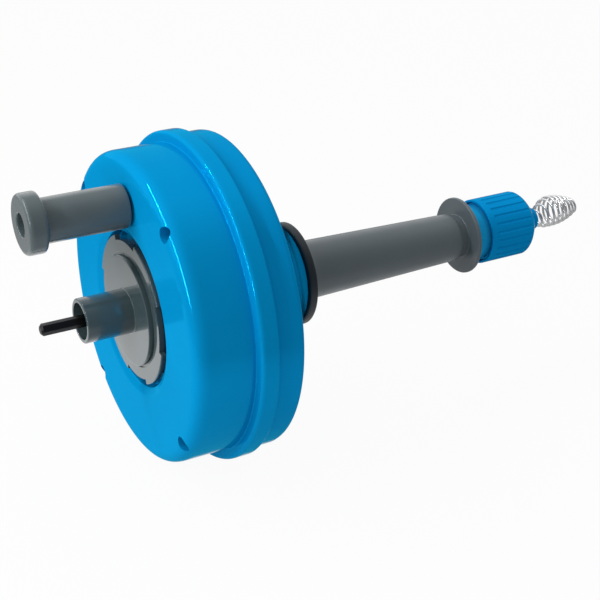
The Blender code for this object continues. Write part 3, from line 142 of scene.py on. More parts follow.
def finished(name, shape, finish, body, nodes, sharp=32):
    """Makes a bmesh a piece that rides on a body and stands for CAD nodes."""
    mesh = bpy.data.meshes.new(name)
    shape.to_mesh(mesh)
    shape.free()
    mesh.shade_smooth()
    mesh.set_sharp_from_angle(angle=math.radians(sharp))
    mesh.materials.append(finish)
    thing = bpy.data.objects.new(name, mesh)
    bpy.context.scene.collection.objects.link(thing)
    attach(thing, body)
    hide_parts(*nodes)
    return thing


class Signal:
    """A socket of a material, with sums on it written as sums."""

    def __init__(self, recipe, socket):
        self.recipe = recipe
        self.socket = socket

    def sum_of(self, operation, first, second):
        return self.recipe.add("ShaderNodeMath", {"operation": operation}, {0: first, 1: second})

    def __add__(self, other):
        return self.sum_of("ADD", self, other)

    def __sub__(self, other):
        return self.sum_of("SUBTRACT", self, other)

    def __rsub__(self, other):
        return self.sum_of("SUBTRACT", other, self)

    def __mul__(self, other):
        return self.sum_of("MULTIPLY", self, other)

    # a sum and a product read the same from both sides
    __radd__ = __add__
    __rmul__ = __mul__


class Recipe:
    """The nodes of a material or a world, built up from signals."""

    def __init__(self, owner, shader, constants=None):
        owner.use_nodes = True
        self.tree = owner.node_tree
        self.shader = self.tree.nodes[shader]
        self.place = self.add("ShaderNodeTexCoord", output="Object")
        for socket, value in (constants or {}).items():
            self.shader.inputs[socket].default_value = value

    def add(self, kind, settings=None, sockets=None, output=0):
        """A node with its settings and its sockets, which take a signal or a constant."""
        node = self.tree.nodes.new(kind)
        for key, value in (settings or {}).items():
            setattr(node, key, value)
        for key, value in (sockets or {}).items():
            if isinstance(value, Signal):
                self.tree.links.new(value.socket, node.inputs[key])
            elif node.inputs[key].type == "RGBA":
                node.inputs[key].default_value = (*value, 1.0)
            else:
                node.inputs[key].default_value = value
        return Signal(self, node.outputs[output])

    def scaled(self, factors):
        """The place on the piece, stretched along each axis."""
        return self.add("ShaderNodeVectorMath", {"operation": "MULTIPLY"}, {0: self.place, 1: factors})

    def noise(self, per_metre, detail=2.0, roughness=0.5, stretch=None):
        """Noise through the piece, which may be stretched along its axes."""
        place = self.scaled(stretch) if stretch else self.place
        sockets = {"Vector": place, "Scale": per_metre, "Detail": detail, "Roughness": roughness}
        return self.add("ShaderNodeTexNoise", None, sockets)

    def between(self, value, low, high):
        """A mask that is 0 below low and 1 above high."""
        return self.add("ShaderNodeMapRange", {"interpolation_type": "SMOOTHSTEP"},
                        {"Value": value, "From Min": low, "From Max": high})

    def mix(self, share, first, second):
        """The first colour, with a share of the second mixed in."""
        return self.add("ShaderNodeMix", {"data_type": "RGBA"}, {0: share, 6: first, 7: second}, output=2)

    def facing(self, low, high):
        """A mask that is 0 where the surface is seen square on and 1 where it is seen at a slant."""
        return self.between(self.add("ShaderNodeLayerWeight", output="Facing"), low, high)

    def bump(self, height, metres, under=None):
        """A normal for relief of a depth in metres, on top of another relief if one is given."""
        sockets = {"Height": height, "Distance": metres, "Strength": 1.0}
        if under is not None:
            sockets["Normal"] = under
        return self.add("ShaderNodeBump", None, sockets)

    def finish(self, links):
        """Feeds signals to the sockets of the shader."""
        for socket, value in links.items():
            self.tree.links.new(value.socket, self.shader.inputs[socket])


def surface(name, constants):
    """A new material and the recipe around its one Principled shader."""
    material = bpy.data.materials.new(name)
    return material, Recipe(material, "Principled BSDF", constants)


def tinted(colour, factor):
    """A lighter or darker version of a colour."""
    return tuple(min(1.0, channel * factor) for channel in colour)


def glossy_blue(name, colour, wear):
    """Polished blue ABS with a slight orange peel, cloudy gloss and faint scratches from use."""
    material, blue = surface(name, {"Metallic": 0.22, "Specular IOR Level": 0.0,
                                    "Specular Tint": (0.0, 1.0, 1.0, 1.0), "Coat Roughness": 0.05})
    cloud = blue.noise(14.0, 3.0, 0.55)
    shade = blue.mix(cloud, tinted(colour, 0.93), tinted(colour, 1.06))
    scratch = blue.between(blue.noise(420.0, 4.0, 0.7, (0.4, 1.0, 0.4)), 0.68, 0.76) * wear
    shade = blue.mix(scratch * 0.15, shade, (0.02, 0.34, 0.62))
    grain = blue.noise(1500.0, 2.0)
    smear = blue.between(blue.noise(34.0, 4.0, 0.6), 0.45, 0.75)
    rough = smear * 0.04 + grain * 0.03 + scratch * 0.18 + 0.07
    peel = blue.bump(blue.noise(150.0, 2.0), 0.000022)
    coat = blue.facing(0.84, 0.98) * 0.9 + 0.025
    blue.finish({"Base Color": shade, "Roughness": rough, "Normal": blue.bump(grain, 0.000003, peel),
                 "Coat Weight": coat})
    return material


rear_corners = [(-120.70, 93.1, 0.2), (-120.70, 96.6, 0.9), (-131.5, 96.6, 2.8), (-131.5, 90.3, 0.6),
                (-165.75, 90.3, 8.3), (-165.75, 50.4, 4.0), (-163.5, 45.5, 1.2), (-157.25, 45.5, 0.4),
                (-157.25, 36.0, 0.3), (-154.75, 36.0, 0.3), (-154.75, 48.1, 0), (-163.15, 48.1, 0),
                (-163.15, 87.7, 5.9), (-129.15, 87.7, 0), (-129.15, 93.1, 0)]
first_screw_angle = 39.2
screw_angles = [first_screw_angle + 90 * quarter for quarter in range(4)]
screw_circle = 84.5
knob_circle, knob_angle = 65.0, 93.0
knob_place = on_circle(knob_circle, knob_angle)

boss = [(-120.9, 0), (-120.9, 6.3), (-164.4, 6.3), (-164.4, 0)]
bosses = merged(turned(boss, 48, on_circle(screw_circle, angle), False) for angle in screw_angles)
skin = rounded([(-120.8, 0, 0), (-120.8, 89.8, 0), (-165.1, 89.8, 7.8), (-165.1, 0, 0)])
bosses = carved(bosses, turned(skin, 96, closed=False), "INTERSECT")
rear_shape = carved(turned(rounded(rear_corners), 168), bosses, "UNION")
well = [(-118.0, 0), (-118.0, 2.3), (-152.25, 2.3), (-152.25, 4.4), (-175.0, 4.4), (-175.0, 0)]
wells = [turned(well, 48, on_circle(screw_circle, angle), False) for angle in screw_angles]
bolt_hole = [(-150.0, 0), (-150.0, 4.3), (-175.0, 4.3), (-175.0, 0)]
wells.append(turned(bolt_hole, 48, knob_place, False))
rear_shape = carved(rear_shape, merged(wells))
rear_blue = glossy_blue("rear shell blue", (0.0008, 0.262, 0.57), 0.6)
finished("drum_rear_shell", rear_shape, rear_blue, "drum", ["rear_shell"])

# --- Front drum shell --------------------------------------------------------
# A flared dome in the same blue ABS, with a plain outer band that meets the
# rear shell at a fine parting line and a lip that registers inside it.

dome = bend((-67.2, 29.7), (-76.75, 38.8), (-102.4, 88.6), 30)
front_outline = [(-66.45, 10.8), (-66.45, 28.2), (-66.5, 28.8), (-66.75, 29.3)] + dome
front_outline += rounded([(-102.4, 88.6, 0), (-104.3, 93.0, 2.6), (-106.4, 93.5, 2.6), (-120.40, 93.5, 0.4),
                          (-120.40, 92.7, 0)])[1:]
front_outline += [(-128.55, 92.7), (-128.55, 90.5), (-106.3, 90.5), (-105.0, 86.4)]
front_outline += bend((-105.0, 86.4), (-79.3, 36.8), (-69.05, 27.6), 12)[1:]
front_outline += [(-69.05, 16.2), (-88.45, 16.2), (-88.45, 10.8)]
front_blue = glossy_blue("front shell blue", (0.0008, 0.25, 0.56), 0.4)
finished("drum_front_shell", turned(front_outline, 168), front_blue, "drum", ["front_shell"])

# --- Drum screws -------------------------------------------------------------
# Four long pan-head screws of zinc-plated steel with cross recesses.  They sit
# at the bottom of the counterbores and pull the two shells together.


def plated(name, colour, roughness, stretch=None, dirt=(0.16, 0.14, 0.12)):
    """Plated or turned metal with fine tool marks and a little dulling."""
    material, metal = surface(name, {"Metallic": 1.0})
    marks = metal.noise(1300.0, 3.0, 0.6, stretch)
    dull = metal.between(metal.noise(110.0, 4.0, 0.6), 0.52, 0.80)
    shade = metal.mix(marks * 0.35, colour, tinted(colour, 0.7))
    shade = metal.mix(dull * 0.30, shade, dirt)
    rough = marks * 0.14 + dull * 0.14 + (roughness - 0.07)
    metal.finish({"Base Color": shade, "Roughness": rough, "Normal": metal.bump(marks, 0.000008)})
    return material


def crossed(shape, x, place, size, turn):
    """Cuts a cross recess of a size in mm into a screw's head."""
    for angle in (turn, turn + 90):
        spot = Matrix.Translation((x / 1000, place[0] / 1000, place[1] / 1000))
        spot = spot @ Matrix.Rotation(math.radians(angle), 4, "X")
        bar = bmesh.new()
        bmesh.ops.create_cube(bar, size=1, matrix=spot @ Matrix.Diagonal((*[s / 1000 for s in size], 1)))
        shape = carved(shape, bar)
    return shape


screw_zinc = plated("drum screw zinc", (0.50, 0.51, 0.52), 0.30)
screw_outline = rounded([(-116.05, 0, 0), (-118.05, 2.0, 0), (-152.55, 2.0, 0), (-152.55, 3.8, 0.3),
                         (-154.2, 3.8, 1.2), (-155.15, 2.0, 1.0), (-155.15, 0, 0)])
cross_x, cross_size, cross_turn = -155.1, (2.4, 4.4, 0.8), 17
for number, angle in enumerate(screw_angles, start=1):
    place = on_circle(screw_circle, angle)
    screw = turned(screw_outline, 40, place, False)
    screw = crossed(screw, cross_x, place, cross_size, cross_turn * number)
    finished(f"drum_screw_{number}", screw, screw_zinc, "drum", [f"shell_screw_{number}"])

# --- Hub cap -----------------------------------------------------------------
# Glossy grey ABS: a stepped disc with a groove and four notches around its
# ring, and the open boss tube that guards the drive shank.  Lugs lock it in.


def shiny_grey(name, colour, gloss):
    """Moulded grey ABS, polished on the disc, with rub marks and fine scratches."""
    material, grey = surface(name, {"Specular IOR Level": 0.4, "Coat Roughness": 0.05})
    cloud = grey.noise(24.0, 3.0, 0.55)
    shade = grey.mix(cloud, tinted(colour, 0.92), tinted(colour, 1.10))
    scratch = grey.between(grey.noise(520.0, 4.0, 0.7, (1.0, 0.18, 0.5)), 0.64, 0.72)
    shade = grey.mix(scratch * 0.20, shade, tinted(colour, 2.2))
    grain = grey.noise(1500.0, 2.0)
    smear = grey.between(grey.noise(46.0, 4.0, 0.6), 0.45, 0.75)
    rough = smear * 0.07 + grain * 0.04 + scratch * 0.15 + gloss
    peel = grey.bump(grey.noise(190.0, 2.0), 0.000016)
    coat = grey.facing(0.30, 0.60) * 0.8
    grey.finish({"Base Color": shade, "Roughness": rough, "Normal": grey.bump(grain, 0.000003, peel),
                 "Coat Weight": coat})
    return material


cap_corners = [(-180.15, 5.3, 0), (-180.15, 10.6, 0.5), (-195.65, 10.6, 0.35), (-195.65, 13.0, 0.9),
               (-167.95, 13.0, 0.5), (-167.95, 32.2, 0.6), (-164.49, 32.2, 0), (-164.49, 33.4, 0.2),
               (-165.45, 33.4, 0.4), (-165.45, 43.5, 0.7), (-162.45, 43.5, 0.2), (-162.45, 39.5, 0),
               (-157.55, 39.5, 0), (-157.55, 35.7, 0), (-152.25, 35.7, 0), (-152.25, 32.7, 0),
               (-162.45, 32.7, 0), (-162.45, 5.3, 0)]
notch_section = [(-168.8, 40.4), (-161.8, 40.4), (-161.8, 46.0), (-168.8, 46.0)]
notch_arc, notch_middle = 38.0, -6.0
notches = []
for quarter in range(4):
    notch = bmesh.new()
    corners = [notch.verts.new((x / 1000, r / 1000, 0)) for x, r in notch_section]
    face = notch.faces.new(corners)
    bmesh.ops.spin(notch, geom=corners + face.edges[:] + [face], cent=(0, 0, 0), axis=(1, 0, 0),
                   dvec=(0, 0, 0), angle=math.radians(notch_arc), steps=18, use_merge=False,
                   use_duplicate=False)
    start = notch_middle - notch_arc / 2 + 90.0 * quarter
    bmesh.ops.rotate(notch, verts=notch.verts, cent=(0, 0, 0),
                     matrix=Matrix.Rotation(math.radians(start), 3, "X"))
    bmesh.ops.recalc_face_normals(notch, faces=notch.faces)
    notches.append(notch)
lug_place, lug_size, first_lug_angle = (-0.15347, 0.0363, 0), (0.0019, 0.0052, 0.012), 39.0
lugs = []
for quarter in range(4):
    lug = bmesh.new()
    spot = Matrix.Rotation(math.radians(first_lug_angle + 90.0 * quarter), 4, "X")
    spot = spot @ Matrix.Translation(lug_place)
    bmesh.ops.create_cube(lug, size=1, matrix=spot @ Matrix.Diagonal((*lug_size, 1)))
    lugs.append(lug)
cap_shape = carved(turned(rounded(cap_corners), 144), merged(notches))
cap_shape = carved(cap_shape, merged(lugs), "UNION")
cap_grey = shiny_grey("hub cap grey", (0.048, 0.075, 0.083), 0.09)
finished("hub_cap_disc", cap_shape, cap_grey, "drum", ["hub_cap"])

# --- Drive shank and its nut -------------------------------------------------
# A quarter-inch hexagonal bar of blackened steel, for the chuck of a drill.
# A brass-coloured nut clamps it to the floor of the boss tube.


def blackened(name, colour, roughness):
    """Black-oxide steel, rubbed brighter in long patches where a chuck has held it."""
    material, black = surface(name, {"Metallic": 0.85})
    marks = black.noise(900.0, 3.0, 0.6, (0.25, 1.0, 1.0))
    rubbed = black.between(black.noise(260.0, 4.0, 0.65, (0.4, 1.0, 1.0)), 0.56, 0.74)
    shade = black.mix(rubbed * 0.45, colour, (0.13, 0.125, 0.12))
    rough = marks * 0.16 + (roughness - 0.06) - rubbed * 0.06
    black.finish({"Base Color": shade, "Roughness": rough, "Normal": black.bump(marks, 0.000012)})
    return material


def hexagonal(flats, rear, front, edge):
    """A hexagonal bar along X, in mm, with softened edges and flats above and below."""
    bar = bmesh.new()
    across = flats / math.sqrt(3) / 1000
    turn = Matrix.Translation(((rear + front) / 2000, 0, 0)) @ Matrix.Rotation(math.radians(90), 4, "Y")
    bmesh.ops.create_cone(bar, cap_ends=True, segments=6, radius1=across, radius2=across,
                          depth=(front - rear) / 1000, matrix=turn)
    highest_flat = 0.51 * flats / 1000      # half the width, with a little to spare
    if max(vert.co.z for vert in bar.verts) > highest_flat:
        bmesh.ops.rotate(bar, verts=bar.verts, cent=(0, 0, 0),
                         matrix=Matrix.Rotation(math.radians(30), 3, "X"))
    long_edges = [e for e in bar.edges if abs(e.verts[0].co.x - e.verts[1].co.x) > 0.001]
    bmesh.ops.bevel(bar, geom=long_edges, offset=edge / 1000, affect="EDGES", segments=3, profile=0.5,
                    material=-1)
    return bar


shank_black = blackened("shank black", (0.016, 0.016, 0.018), 0.36)
shank_flats, shank_nut_flats = 6.35, 15.0
shank_bar = hexagonal(shank_flats, -218.85, -184.0, 0.25)
shank_tip = rounded([(-180.0, 0, 0), (-180.0, 4.6, 0), (-217.6, 4.6, 0), (-217.6, 3.55, 0.2),
                     (-218.85, 2.3, 0.3), (-218.85, 0, 0)])
shank_bar = carved(shank_bar, turned(shank_tip, 72, closed=False), "INTERSECT")
stud = rounded([(-159.15, 0, 0), (-159.15, 11.0, 0.5), (-162.15, 11.0, 0.5), (-162.15, 5.0, 0.3),
                (-187.2, 5.0, 0.5), (-188.5, 3.5, 0.4), (-188.5, 0, 0)])
shank_shape = carved(turned(stud, 72, closed=False), shank_bar, "UNION")
finished("drive_shank_bar", shank_shape, shank_black, "drum", ["drive_shank"])

shank_brass = plated("shank nut brass", (0.52, 0.36, 0.16), 0.30, (1.0, 0.3, 0.3), (0.20, 0.12, 0.05))
nut_bar = hexagonal(shank_nut_flats, -186.45, -180.45, 0.2)
nut_round = [(-180.0, 0), (-180.0, 7.6), (-181.0, 8.55), (-185.9, 8.55), (-186.9, 7.4), (-186.9, 0)]
nut_bar = carved(nut_bar, turned(nut_round, 72, closed=False), "INTERSECT")
nut_bore = [(-178.0, 0), (-178.0, 5.3), (-190.0, 5.3), (-190.0, 0)]
nut_bar = carved(nut_bar, turned(nut_bore, 48, closed=False))
finished("shank_hex_nut", nut_bar, shank_brass, "drum", ["shank_nut"])

# --- Crank knob, its bolt and washer -----------------------------------------
# A grey sleeve with a thick head that spins freely on a long bolt, so that the
# drum can be cranked by hand.  Satin plastic with a fine moulded texture.


def satin_grey(name, colour, gloss, sheen):
    """Satin grey plastic: fine mould texture, grease from hands and pale nicks."""
    material, grey = surface(name, {"Specular IOR Level": 0.5, "Coat Roughness": 0.12})
    cloud = grey.noise(30.0, 4.0, 0.6)
    shade = grey.mix(cloud, tinted(colour, 0.86), tinted(colour, 1.12))
    nick = grey.between(grey.noise(420.0, 5.0, 0.7), 0.66, 0.74)
    shade = grey.mix(nick * 0.30, shade, tinted(colour, 2.0))
    texture = grey.noise(1600.0, 2.0, 0.6)
    grease = grey.between(grey.noise(55.0, 4.0, 0.6), 0.42, 0.72)
    rough = texture * 0.10 + (gloss - 0.02) - grease * 0.10 + nick * 0.10
    coat = grey.facing(0.40, 0.58) * sheen
    grey.finish({"Base Color": shade, "Roughness": rough, "Normal": grey.bump(texture, 0.000022),
                 "Coat Weight": coat})
    return material


knob_grey = satin_grey("knob grey", (0.074, 0.100, 0.108), 0.34, 0.9)
knob_corners = [(-167.35, 4.3, 0), (-167.35, 12.4, 0.8), (-214.85, 12.4, 1.8), (-214.85, 16.9, 1.8),
                (-225.35, 16.9, 2.7), (-225.35, 6.6, 1.0), (-215.85, 6.6, 0.3), (-215.85, 4.3, 0)]
knob_shape = turned(rounded(knob_corners), 112, knob_place)
finished("crank_knob_sleeve", knob_shape, knob_grey, "knob", ["crank_knob"])

bolt_zinc = plated("knob bolt zinc", (0.42, 0.42, 0.43), 0.32, (1.0, 0.4, 0.4))
bolt_corners = [(-150.95, 0, 0), (-150.95, 3.2, 0), (-151.75, 4.0, 0), (-216.15, 4.0, 0),
                (-216.15, 5.8, 0.4), (-219.0, 5.8, 1.2), (-219.65, 3.6, 0.8), (-219.65, 0, 0)]
bolt = turned(rounded(bolt_corners), 64, knob_place, False)
socket_flats = 4.2
socket = hexagonal(socket_flats, -221.0, -217.6, 0.05)
bmesh.ops.translate(socket, verts=socket.verts, vec=(0, knob_place[0] / 1000, knob_place[1] / 1000))
finished("knob_bolt_screw", carved(bolt, socket), bolt_zinc, "drum", ["knob_bolt"])

washer_corners = [(-167.05, 4.3, 0), (-167.05, 8.5, 0.2), (-166.05, 8.5, 0.2), (-166.05, 4.3, 0)]
washer_shape = turned(rounded(washer_corners), 72, knob_place)
finished("knob_flat_washer", washer_shape, bolt_zinc, "drum", ["knob_washer"])

# --- Grip and its bearings ---------------------------------------------------
# The still part that the user holds: a tapered grey sleeve with a broad hand
# guard behind and a smaller flange in front, on nylon bushes.  A nylon washer
# with a thick rim takes in the guard's edge, coloured near black as painted
# shade for the dark gap there; a thin pale one sits in front.

grip_grey = satin_grey("grip grey", (0.090, 0.114, 0.126), 0.36, 0.2)
grip_corners = [(63.25, 13.8, 0.2), (63.25, 15.2, 0.3), (60.55, 15.2, 0.3), (60.55, 24.3, 1.0),
                (58.05, 24.3, 1.0), (58.05, 13.7, 0.6), (52.25, 13.7, 0.4), (52.25, 15.1, 0.9)]
guard_flare = bend((-50.65, 17.7), (-59.45, 17.7), (-59.45, 26.5), 12)
grip_corners += [(x, r, 0) for x, r in guard_flare]
grip_corners += [(-59.45, 28.0, 1.0), (-63.25, 28.0, 1.0), (-63.25, 13.8, 0.2), (-61.25, 13.8, 0),
                 (-61.25, 12.2, 0), (61.25, 12.2, 0), (61.25, 13.8, 0)]
finished("grip_handle", turned(rounded(grip_corners), 128), grip_grey, "grip", ["grip_sleeve"])


def nylon(name, colour):
    """Engineering nylon, slightly waxy, with wear dust on it."""
    material, waxy = surface(name, {"Specular IOR Level": 0.45})
    cloud = waxy.noise(80.0, 4.0, 0.6)
    shade = waxy.mix(cloud, tinted(colour, 0.80), colour)
    rough = cloud * 0.15 + 0.38
    grain = waxy.bump(waxy.noise(900.0, 2.0), 0.00001)
    waxy.finish({"Base Color": shade, "Roughness": rough, "Normal": grain})
    return material


bearing_nylon = nylon("bearing nylon", (0.50, 0.50, 0.47))
for node in ("rear_grip_bush", "front_grip_bush"):
    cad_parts[node].material_slots[0].material = bearing_nylon
rear_ring = rounded([(-66.15, 10.8, 0.2), (-66.15, 31.2, 2.3), (-60.65, 31.2, 1.3), (-60.65, 28.3, 0.2),
                     (-63.55, 28.3, 0), (-63.55, 10.8, 0.2)])
# Near black: painted shade for the dark gap between the dome and the hand guard.
ring_painted_shade = nylon("rear ring nylon in painted shade", (0.004, 0.014, 0.022))
finished("rear_thrust_ring", turned(rear_ring, 144), ring_painted_shade, "grip", ["rear_thrust_washer"])
front_ring = rounded([(63.55, 10.8, 0.2), (63.55, 15.1, 0.5), (64.95, 15.1, 0.5), (64.95, 10.8, 0.2)])
finished("front_thrust_ring", turned(front_ring, 128), bearing_nylon, "grip", ["front_thrust_washer"])

# --- Chuck body, set screws and collet ---------------------------------------
# The blue collar that is fixed on the end of the spindle by two set screws.
# A slit brass collet sits in its cone and closes on the cable.

chuck_blue = glossy_blue("chuck body blue", (0.010, 0.33, 0.66), 0.5)
chuck_corners = [(96.75, 14.5, 0.3), (96.75, 18.8, 1.0), (73.75, 18.8, 0.4), (73.75, 17.2, 0.3),
                 (61.15, 17.2, 0.8), (61.15, 15.5, 0.3), (65.25, 15.5, 0), (65.25, 10.8, 0.4),
                 (81.25, 10.8, 0), (81.25, 7.0, 0), (83.25, 7.0, 0), (83.25, 9.5, 0)]
hole_x, hole_reach, hole_radius, hole_depth = 0.07775, 0.016, 0.0022, 0.012
holes = []
for side in (1, -1):
    hole = bmesh.new()
    bmesh.ops.create_cone(hole, cap_ends=True, segments=32, radius1=hole_radius, radius2=hole_radius,
                          depth=hole_depth, matrix=Matrix.Translation((hole_x, 0, side * hole_reach)))
    holes.append(hole)
chuck_shape = carved(turned(rounded(chuck_corners), 112), merged(holes))
finished("chuck_collar", chuck_shape, chuck_blue, "drum", ["chuck_body"])

set_screw_black = blackened("set screw black", (0.02, 0.02, 0.022), 0.40)
for node in ("set_screw_1", "set_screw_2"):
    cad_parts[node].material_slots[0].material = set_screw_black
collet_brass = plated("collet brass", (0.58, 0.42, 0.18), 0.28, (0.2, 1.0, 1.0), (0.22, 0.14, 0.06))
for node in ("cable_collet", "nut_washer"):
    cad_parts[node].material_slots[0].material = collet_brass

# --- Chuck nut ---------------------------------------------------------------
# The fluted blue nut that the hand turns to clamp the cable, moulded in one
# piece.  It tapers to a short plain nose that the auger head comes out of.

nut_blue = glossy_blue("nut blue", (0.0012, 0.255, 0.60), 0.8)
shoulder = bend((106.75, 16.9), (103.4, 20.7), (101.95, 20.7), 14)
nut_outline = rounded([(117.75, 5.3, 0), (117.75, 7.0, 0.5), (113.55, 7.0, 0.4), (113.55, 9.2, 0.5),
                       (106.75, 16.9, 0)])
nut_outline += shoulder[1:]
nut_outline += rounded([(101.95, 20.7, 0), (71.5, 20.7, 0.8), (71.5, 19.1, 0.3), (101.85, 19.1, 0)])[1:]
nut_outline += [(101.85, 5.3)]
flute_count, flute_circle = 24, 21.35
flute = [(75.0, 0), (75.7, 0.9), (76.6, 1.25), (120.0, 1.25), (120.0, 0)]
flutes = [turned(flute, 20, on_circle(flute_circle, 360.0 / flute_count * number), False)
          for number in range(flute_count)]
nut_shape = carved(turned(nut_outline, 192), merged(flutes))
finished("chuck_nut_cap", nut_shape, nut_blue, "nut", ["chuck_nut"], sharp=28)

# --- Cable and bulb head -----------------------------------------------------
# A close-wound steel cable.  Its end is gripped by a spring-steel head whose
# turns open into a bulb and close again at the tip.

cable_steel = plated("cable steel", (0.60, 0.61, 0.62), 0.26, (1.0, 0.5, 0.5), (0.30, 0.28, 0.26))
cable_radius = 3.0
winding = 1.15
lead_rear, lead_front = -84.15, 119.4
turns = int((lead_front - lead_rear) / winding)
groove_depth = 0.30
one_turn = ((0.02, groove_depth), (0.15, 0.10), (0.35, 0.01), (0.65, 0.01), (0.85, 0.10))
lead = [(lead_rear, 0)]
for turn in range(turns):
    start = lead_rear + turn * winding
    lead += [(start + winding * share, cable_radius - dip) for share, dip in one_turn]
lead_end = lead_rear + turns * winding
lead += [(lead_end, cable_radius - groove_depth), (lead_end, 0)]
lead_shape = turned(lead, 28, closed=False)
finished("cable_lead_wire", lead_shape, cable_steel, "cable", ["cable_lead"], sharp=60)

spring_steel = plated("spring steel", (0.80, 0.81, 0.82), 0.20, None, (0.42, 0.40, 0.37))
wire_radius = 0.75
close_turns, open_turns = 2, 9
points_per_turn = 36
head_start, head_end = 116.25, 151.55
grip_pitch = 2 * wire_radius + 0.3
bulb_start = head_start + close_turns * grip_pitch
close_radius, swell = 4.1, 5.3      # the turns on the cable, and what they gain up to the bulb
tip_radius, taper = 3.6, 5.8        # the last turn, and what it lost since the bulb
taper_power = 1.9                   # above 1 the bulb stays wide and closes late
swelling = 0.36                     # share of the open turns that grow
lift = 2.8                          # of the bulb above the cable's axis
route = []
for index in range((close_turns + open_turns) * points_per_turn + 1):
    turn = index / points_per_turn
    share = max(0.0, (turn - close_turns) / open_turns)
    grow = min(1.0, share / swelling)
    wide = close_radius + swell * (1 - (1 - grow) ** 2)
    if share > swelling:
        wide = tip_radius + taper * (1 - ((share - swelling) / (1 - swelling)) ** taper_power)
    x = head_start + min(turn, close_turns) * grip_pitch + share * (head_end - bulb_start)
    angle = 2 * math.pi * turn
    rise = lift * grow * grow * (3 - 2 * grow)
    route.append((x, wide * math.cos(angle), wide * math.sin(angle) + rise))
wire = bpy.data.curves.new("bulb wire", "CURVE")
wire.dimensions = "3D"
wire.bevel_depth = wire_radius / 1000
wire.bevel_resolution = 5
wire.use_fill_caps = True
line = wire.splines.new("POLY")
line.points.add(len(route) - 1)
for point, spot in zip(line.points, route):
    point.co = (*[value / 1000 for value in spot], 1)
coil = bpy.data.objects.new("bulb wire", wire)
bpy.context.scene.collection.objects.link(coil)
bpy.context.view_layer.update()
coil_mesh = bpy.data.meshes.new_from_object(coil.evaluated_get(bpy.context.evaluated_depsgraph_get()))
head_shape = bmesh.new()
head_shape.from_mesh(coil_mesh)
bpy.data.meshes.remove(coil_mesh)
bpy.data.objects.remove(coil)
bpy.data.curves.remove(wire)
bmesh.ops.remove_doubles(head_shape, verts=head_shape.verts, dist=merge_distance)
bmesh.ops.recalc_face_normals(head_shape, faces=head_shape.faces)
finished("bulb_head_wire", head_shape, spring_steel, "cable", ["auger_head"])

# --- Inner pieces ------------------------------------------------------------
# What the drum hides: the stored steel cable with its clamp block and screw,
# the turned steel spindle with its three screws, and the nut behind the knob.

stored_steel = plated("stored cable steel", (0.46, 0.46, 0.46), 0.34, None, (0.22, 0.17, 0.12))
spindle_steel = plated("spindle steel", (0.55, 0.56, 0.57), 0.24, (0.15, 1.0, 1.0))
inner_finishes = {"cable_coil": stored_steel, "cable_anchor": stored_steel, "anchor_screw": screw_zinc,
                  "spindle_tube": spindle_steel, "spindle_screw_1": screw_zinc,
                  "spindle_screw_2": screw_zinc, "spindle_screw_3": screw_zinc, "knob_nut": bolt_zinc}
for node, finish in inner_finishes.items():
    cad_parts[node].material_slots[0].material = finish

# --- Studio ------------------------------------------------------------------
# A plain sheet of white paper below the drum.  It glows for the camera, so that
# it prints white and still keeps a trace of shadow.  It also glows in reflections,
# brightest just below the drum's face and fainter further off: a painted reflection
# on the face.  A long narrow strip of light behind the drum draws the streaks on its
# edge; the rest is even white light.

floor_height, floor_reach = -0.0975, 8.0
sweep = bpy.data.meshes.new("studio floor")
plane = bmesh.new()
bmesh.ops.create_grid(plane, x_segments=1, y_segments=1, size=floor_reach,
                      matrix=Matrix.Translation((0, 0, floor_height)))
plane.to_mesh(sweep)
plane.free()
floor = bpy.data.objects.new("studio_floor", sweep)
bpy.context.scene.collection.objects.link(floor)

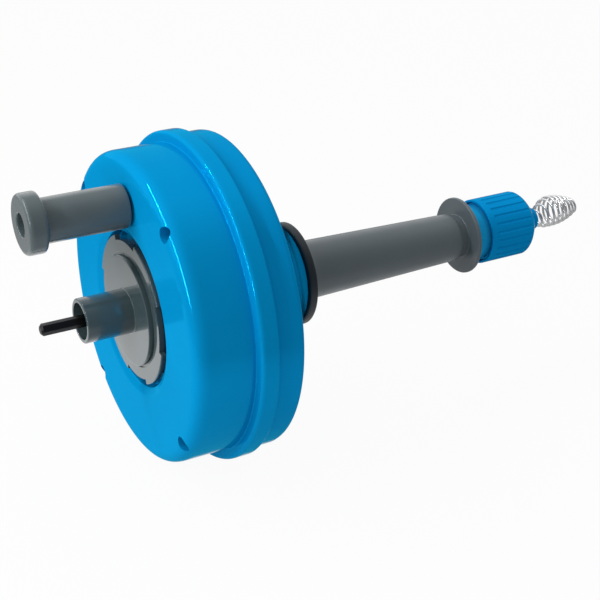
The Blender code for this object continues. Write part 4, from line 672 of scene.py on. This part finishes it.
paper, white = surface("studio white", {"Base Color": (0.60, 0.60, 0.60, 1.0), "Roughness": 0.9,
                                        "Specular IOR Level": 0.1})
paths = ("Is Camera Ray", "Is Glossy Ray", "Is Transmission Ray")
seen = [white.add("ShaderNodeLightPath", output=path) for path in paths]
# Painted reflection: seen by glossy rays, the floor's glow fades with distance from just below the drum's
# face.
below_face = (-0.18, -0.02, floor_height)
away = white.add("ShaderNodeVectorMath", {"operation": "DISTANCE"}, {0: white.place, 1: below_face},
                 output="Value")
painted_reflection_tone = 1.0 - seen[1] * white.between(away, 0.12, 0.42) * 0.75
glow = white.add("ShaderNodeEmission", None, {"Color": painted_reflection_tone, "Strength": 1.0})
share = seen[0] * 0.95 + (seen[1] + seen[2]) * 0.85
lit = Signal(white, white.shader.outputs[0])
mixed = white.add("ShaderNodeMixShader", None, {0: share, 1: lit, 2: glow})
white.tree.links.new(mixed.socket, white.tree.nodes["Material Output"].inputs["Surface"])
sweep.materials.append(paper)

world = bpy.data.worlds.new("studio")
bpy.context.scene.world = world
sky = Recipe(world, "Background", {"Color": (1.0, 1.0, 1.0, 1.0)})
seen = [sky.add("ShaderNodeLightPath", output=path) for path in paths]
way = sky.add("ShaderNodeTexCoord", output="Generated")
depth, height = [sky.add("ShaderNodeSeparateXYZ", None, {"Vector": way}, output=axis) for axis in "YZ"]
mirrored = sky.between(depth, -0.7, 0.2) * 0.75 + 0.25
plain = 1.0 - seen[0] - seen[1] - seen[2]
soft = sky.between(height, -0.2, 0.9) * 0.60 + 0.25
sky.finish({"Strength": seen[0] + seen[2] + seen[1] * mirrored + plain * soft})

strip_start, strip_end = Vector((-1.49, -0.60, 0.15)), Vector((-0.74, 0.68, 1.20))
strip_width, strip_watts = 0.022, 15.0
drum_middle = Vector((-0.14, 0, 0))
strip_light = bpy.data.lights.new("strip_softbox", "AREA")
strip_light.shape = "RECTANGLE"
strip_light.size = strip_width
strip_light.size_y = (strip_end - strip_start).length
strip_light.energy = strip_watts
strip = bpy.data.objects.new("strip_softbox", strip_light)
along = (strip_end - strip_start).normalized()
strip.location = (strip_start + strip_end) / 2
across = along.cross(strip.location - drum_middle).normalized()
strip.rotation_euler = Matrix((across, along, across.cross(along))).transposed().to_euler()
bpy.context.scene.collection.objects.link(strip)

camera_settings = bpy.data.cameras.new("photo camera")
camera_settings.lens = 81.66
camera_settings.sensor_width = 36.0
camera = bpy.data.objects.new("photo_camera", camera_settings)
camera.location = (-0.41474, -0.65264, 0.33896)
camera.rotation_euler = Vector((0.43413, 0.78975, -0.43338)).to_track_quat("-Z", "Y").to_euler()
bpy.context.scene.collection.objects.link(camera)
bpy.context.scene.camera = camera
bpy.context.scene.view_settings.view_transform = "Standard"
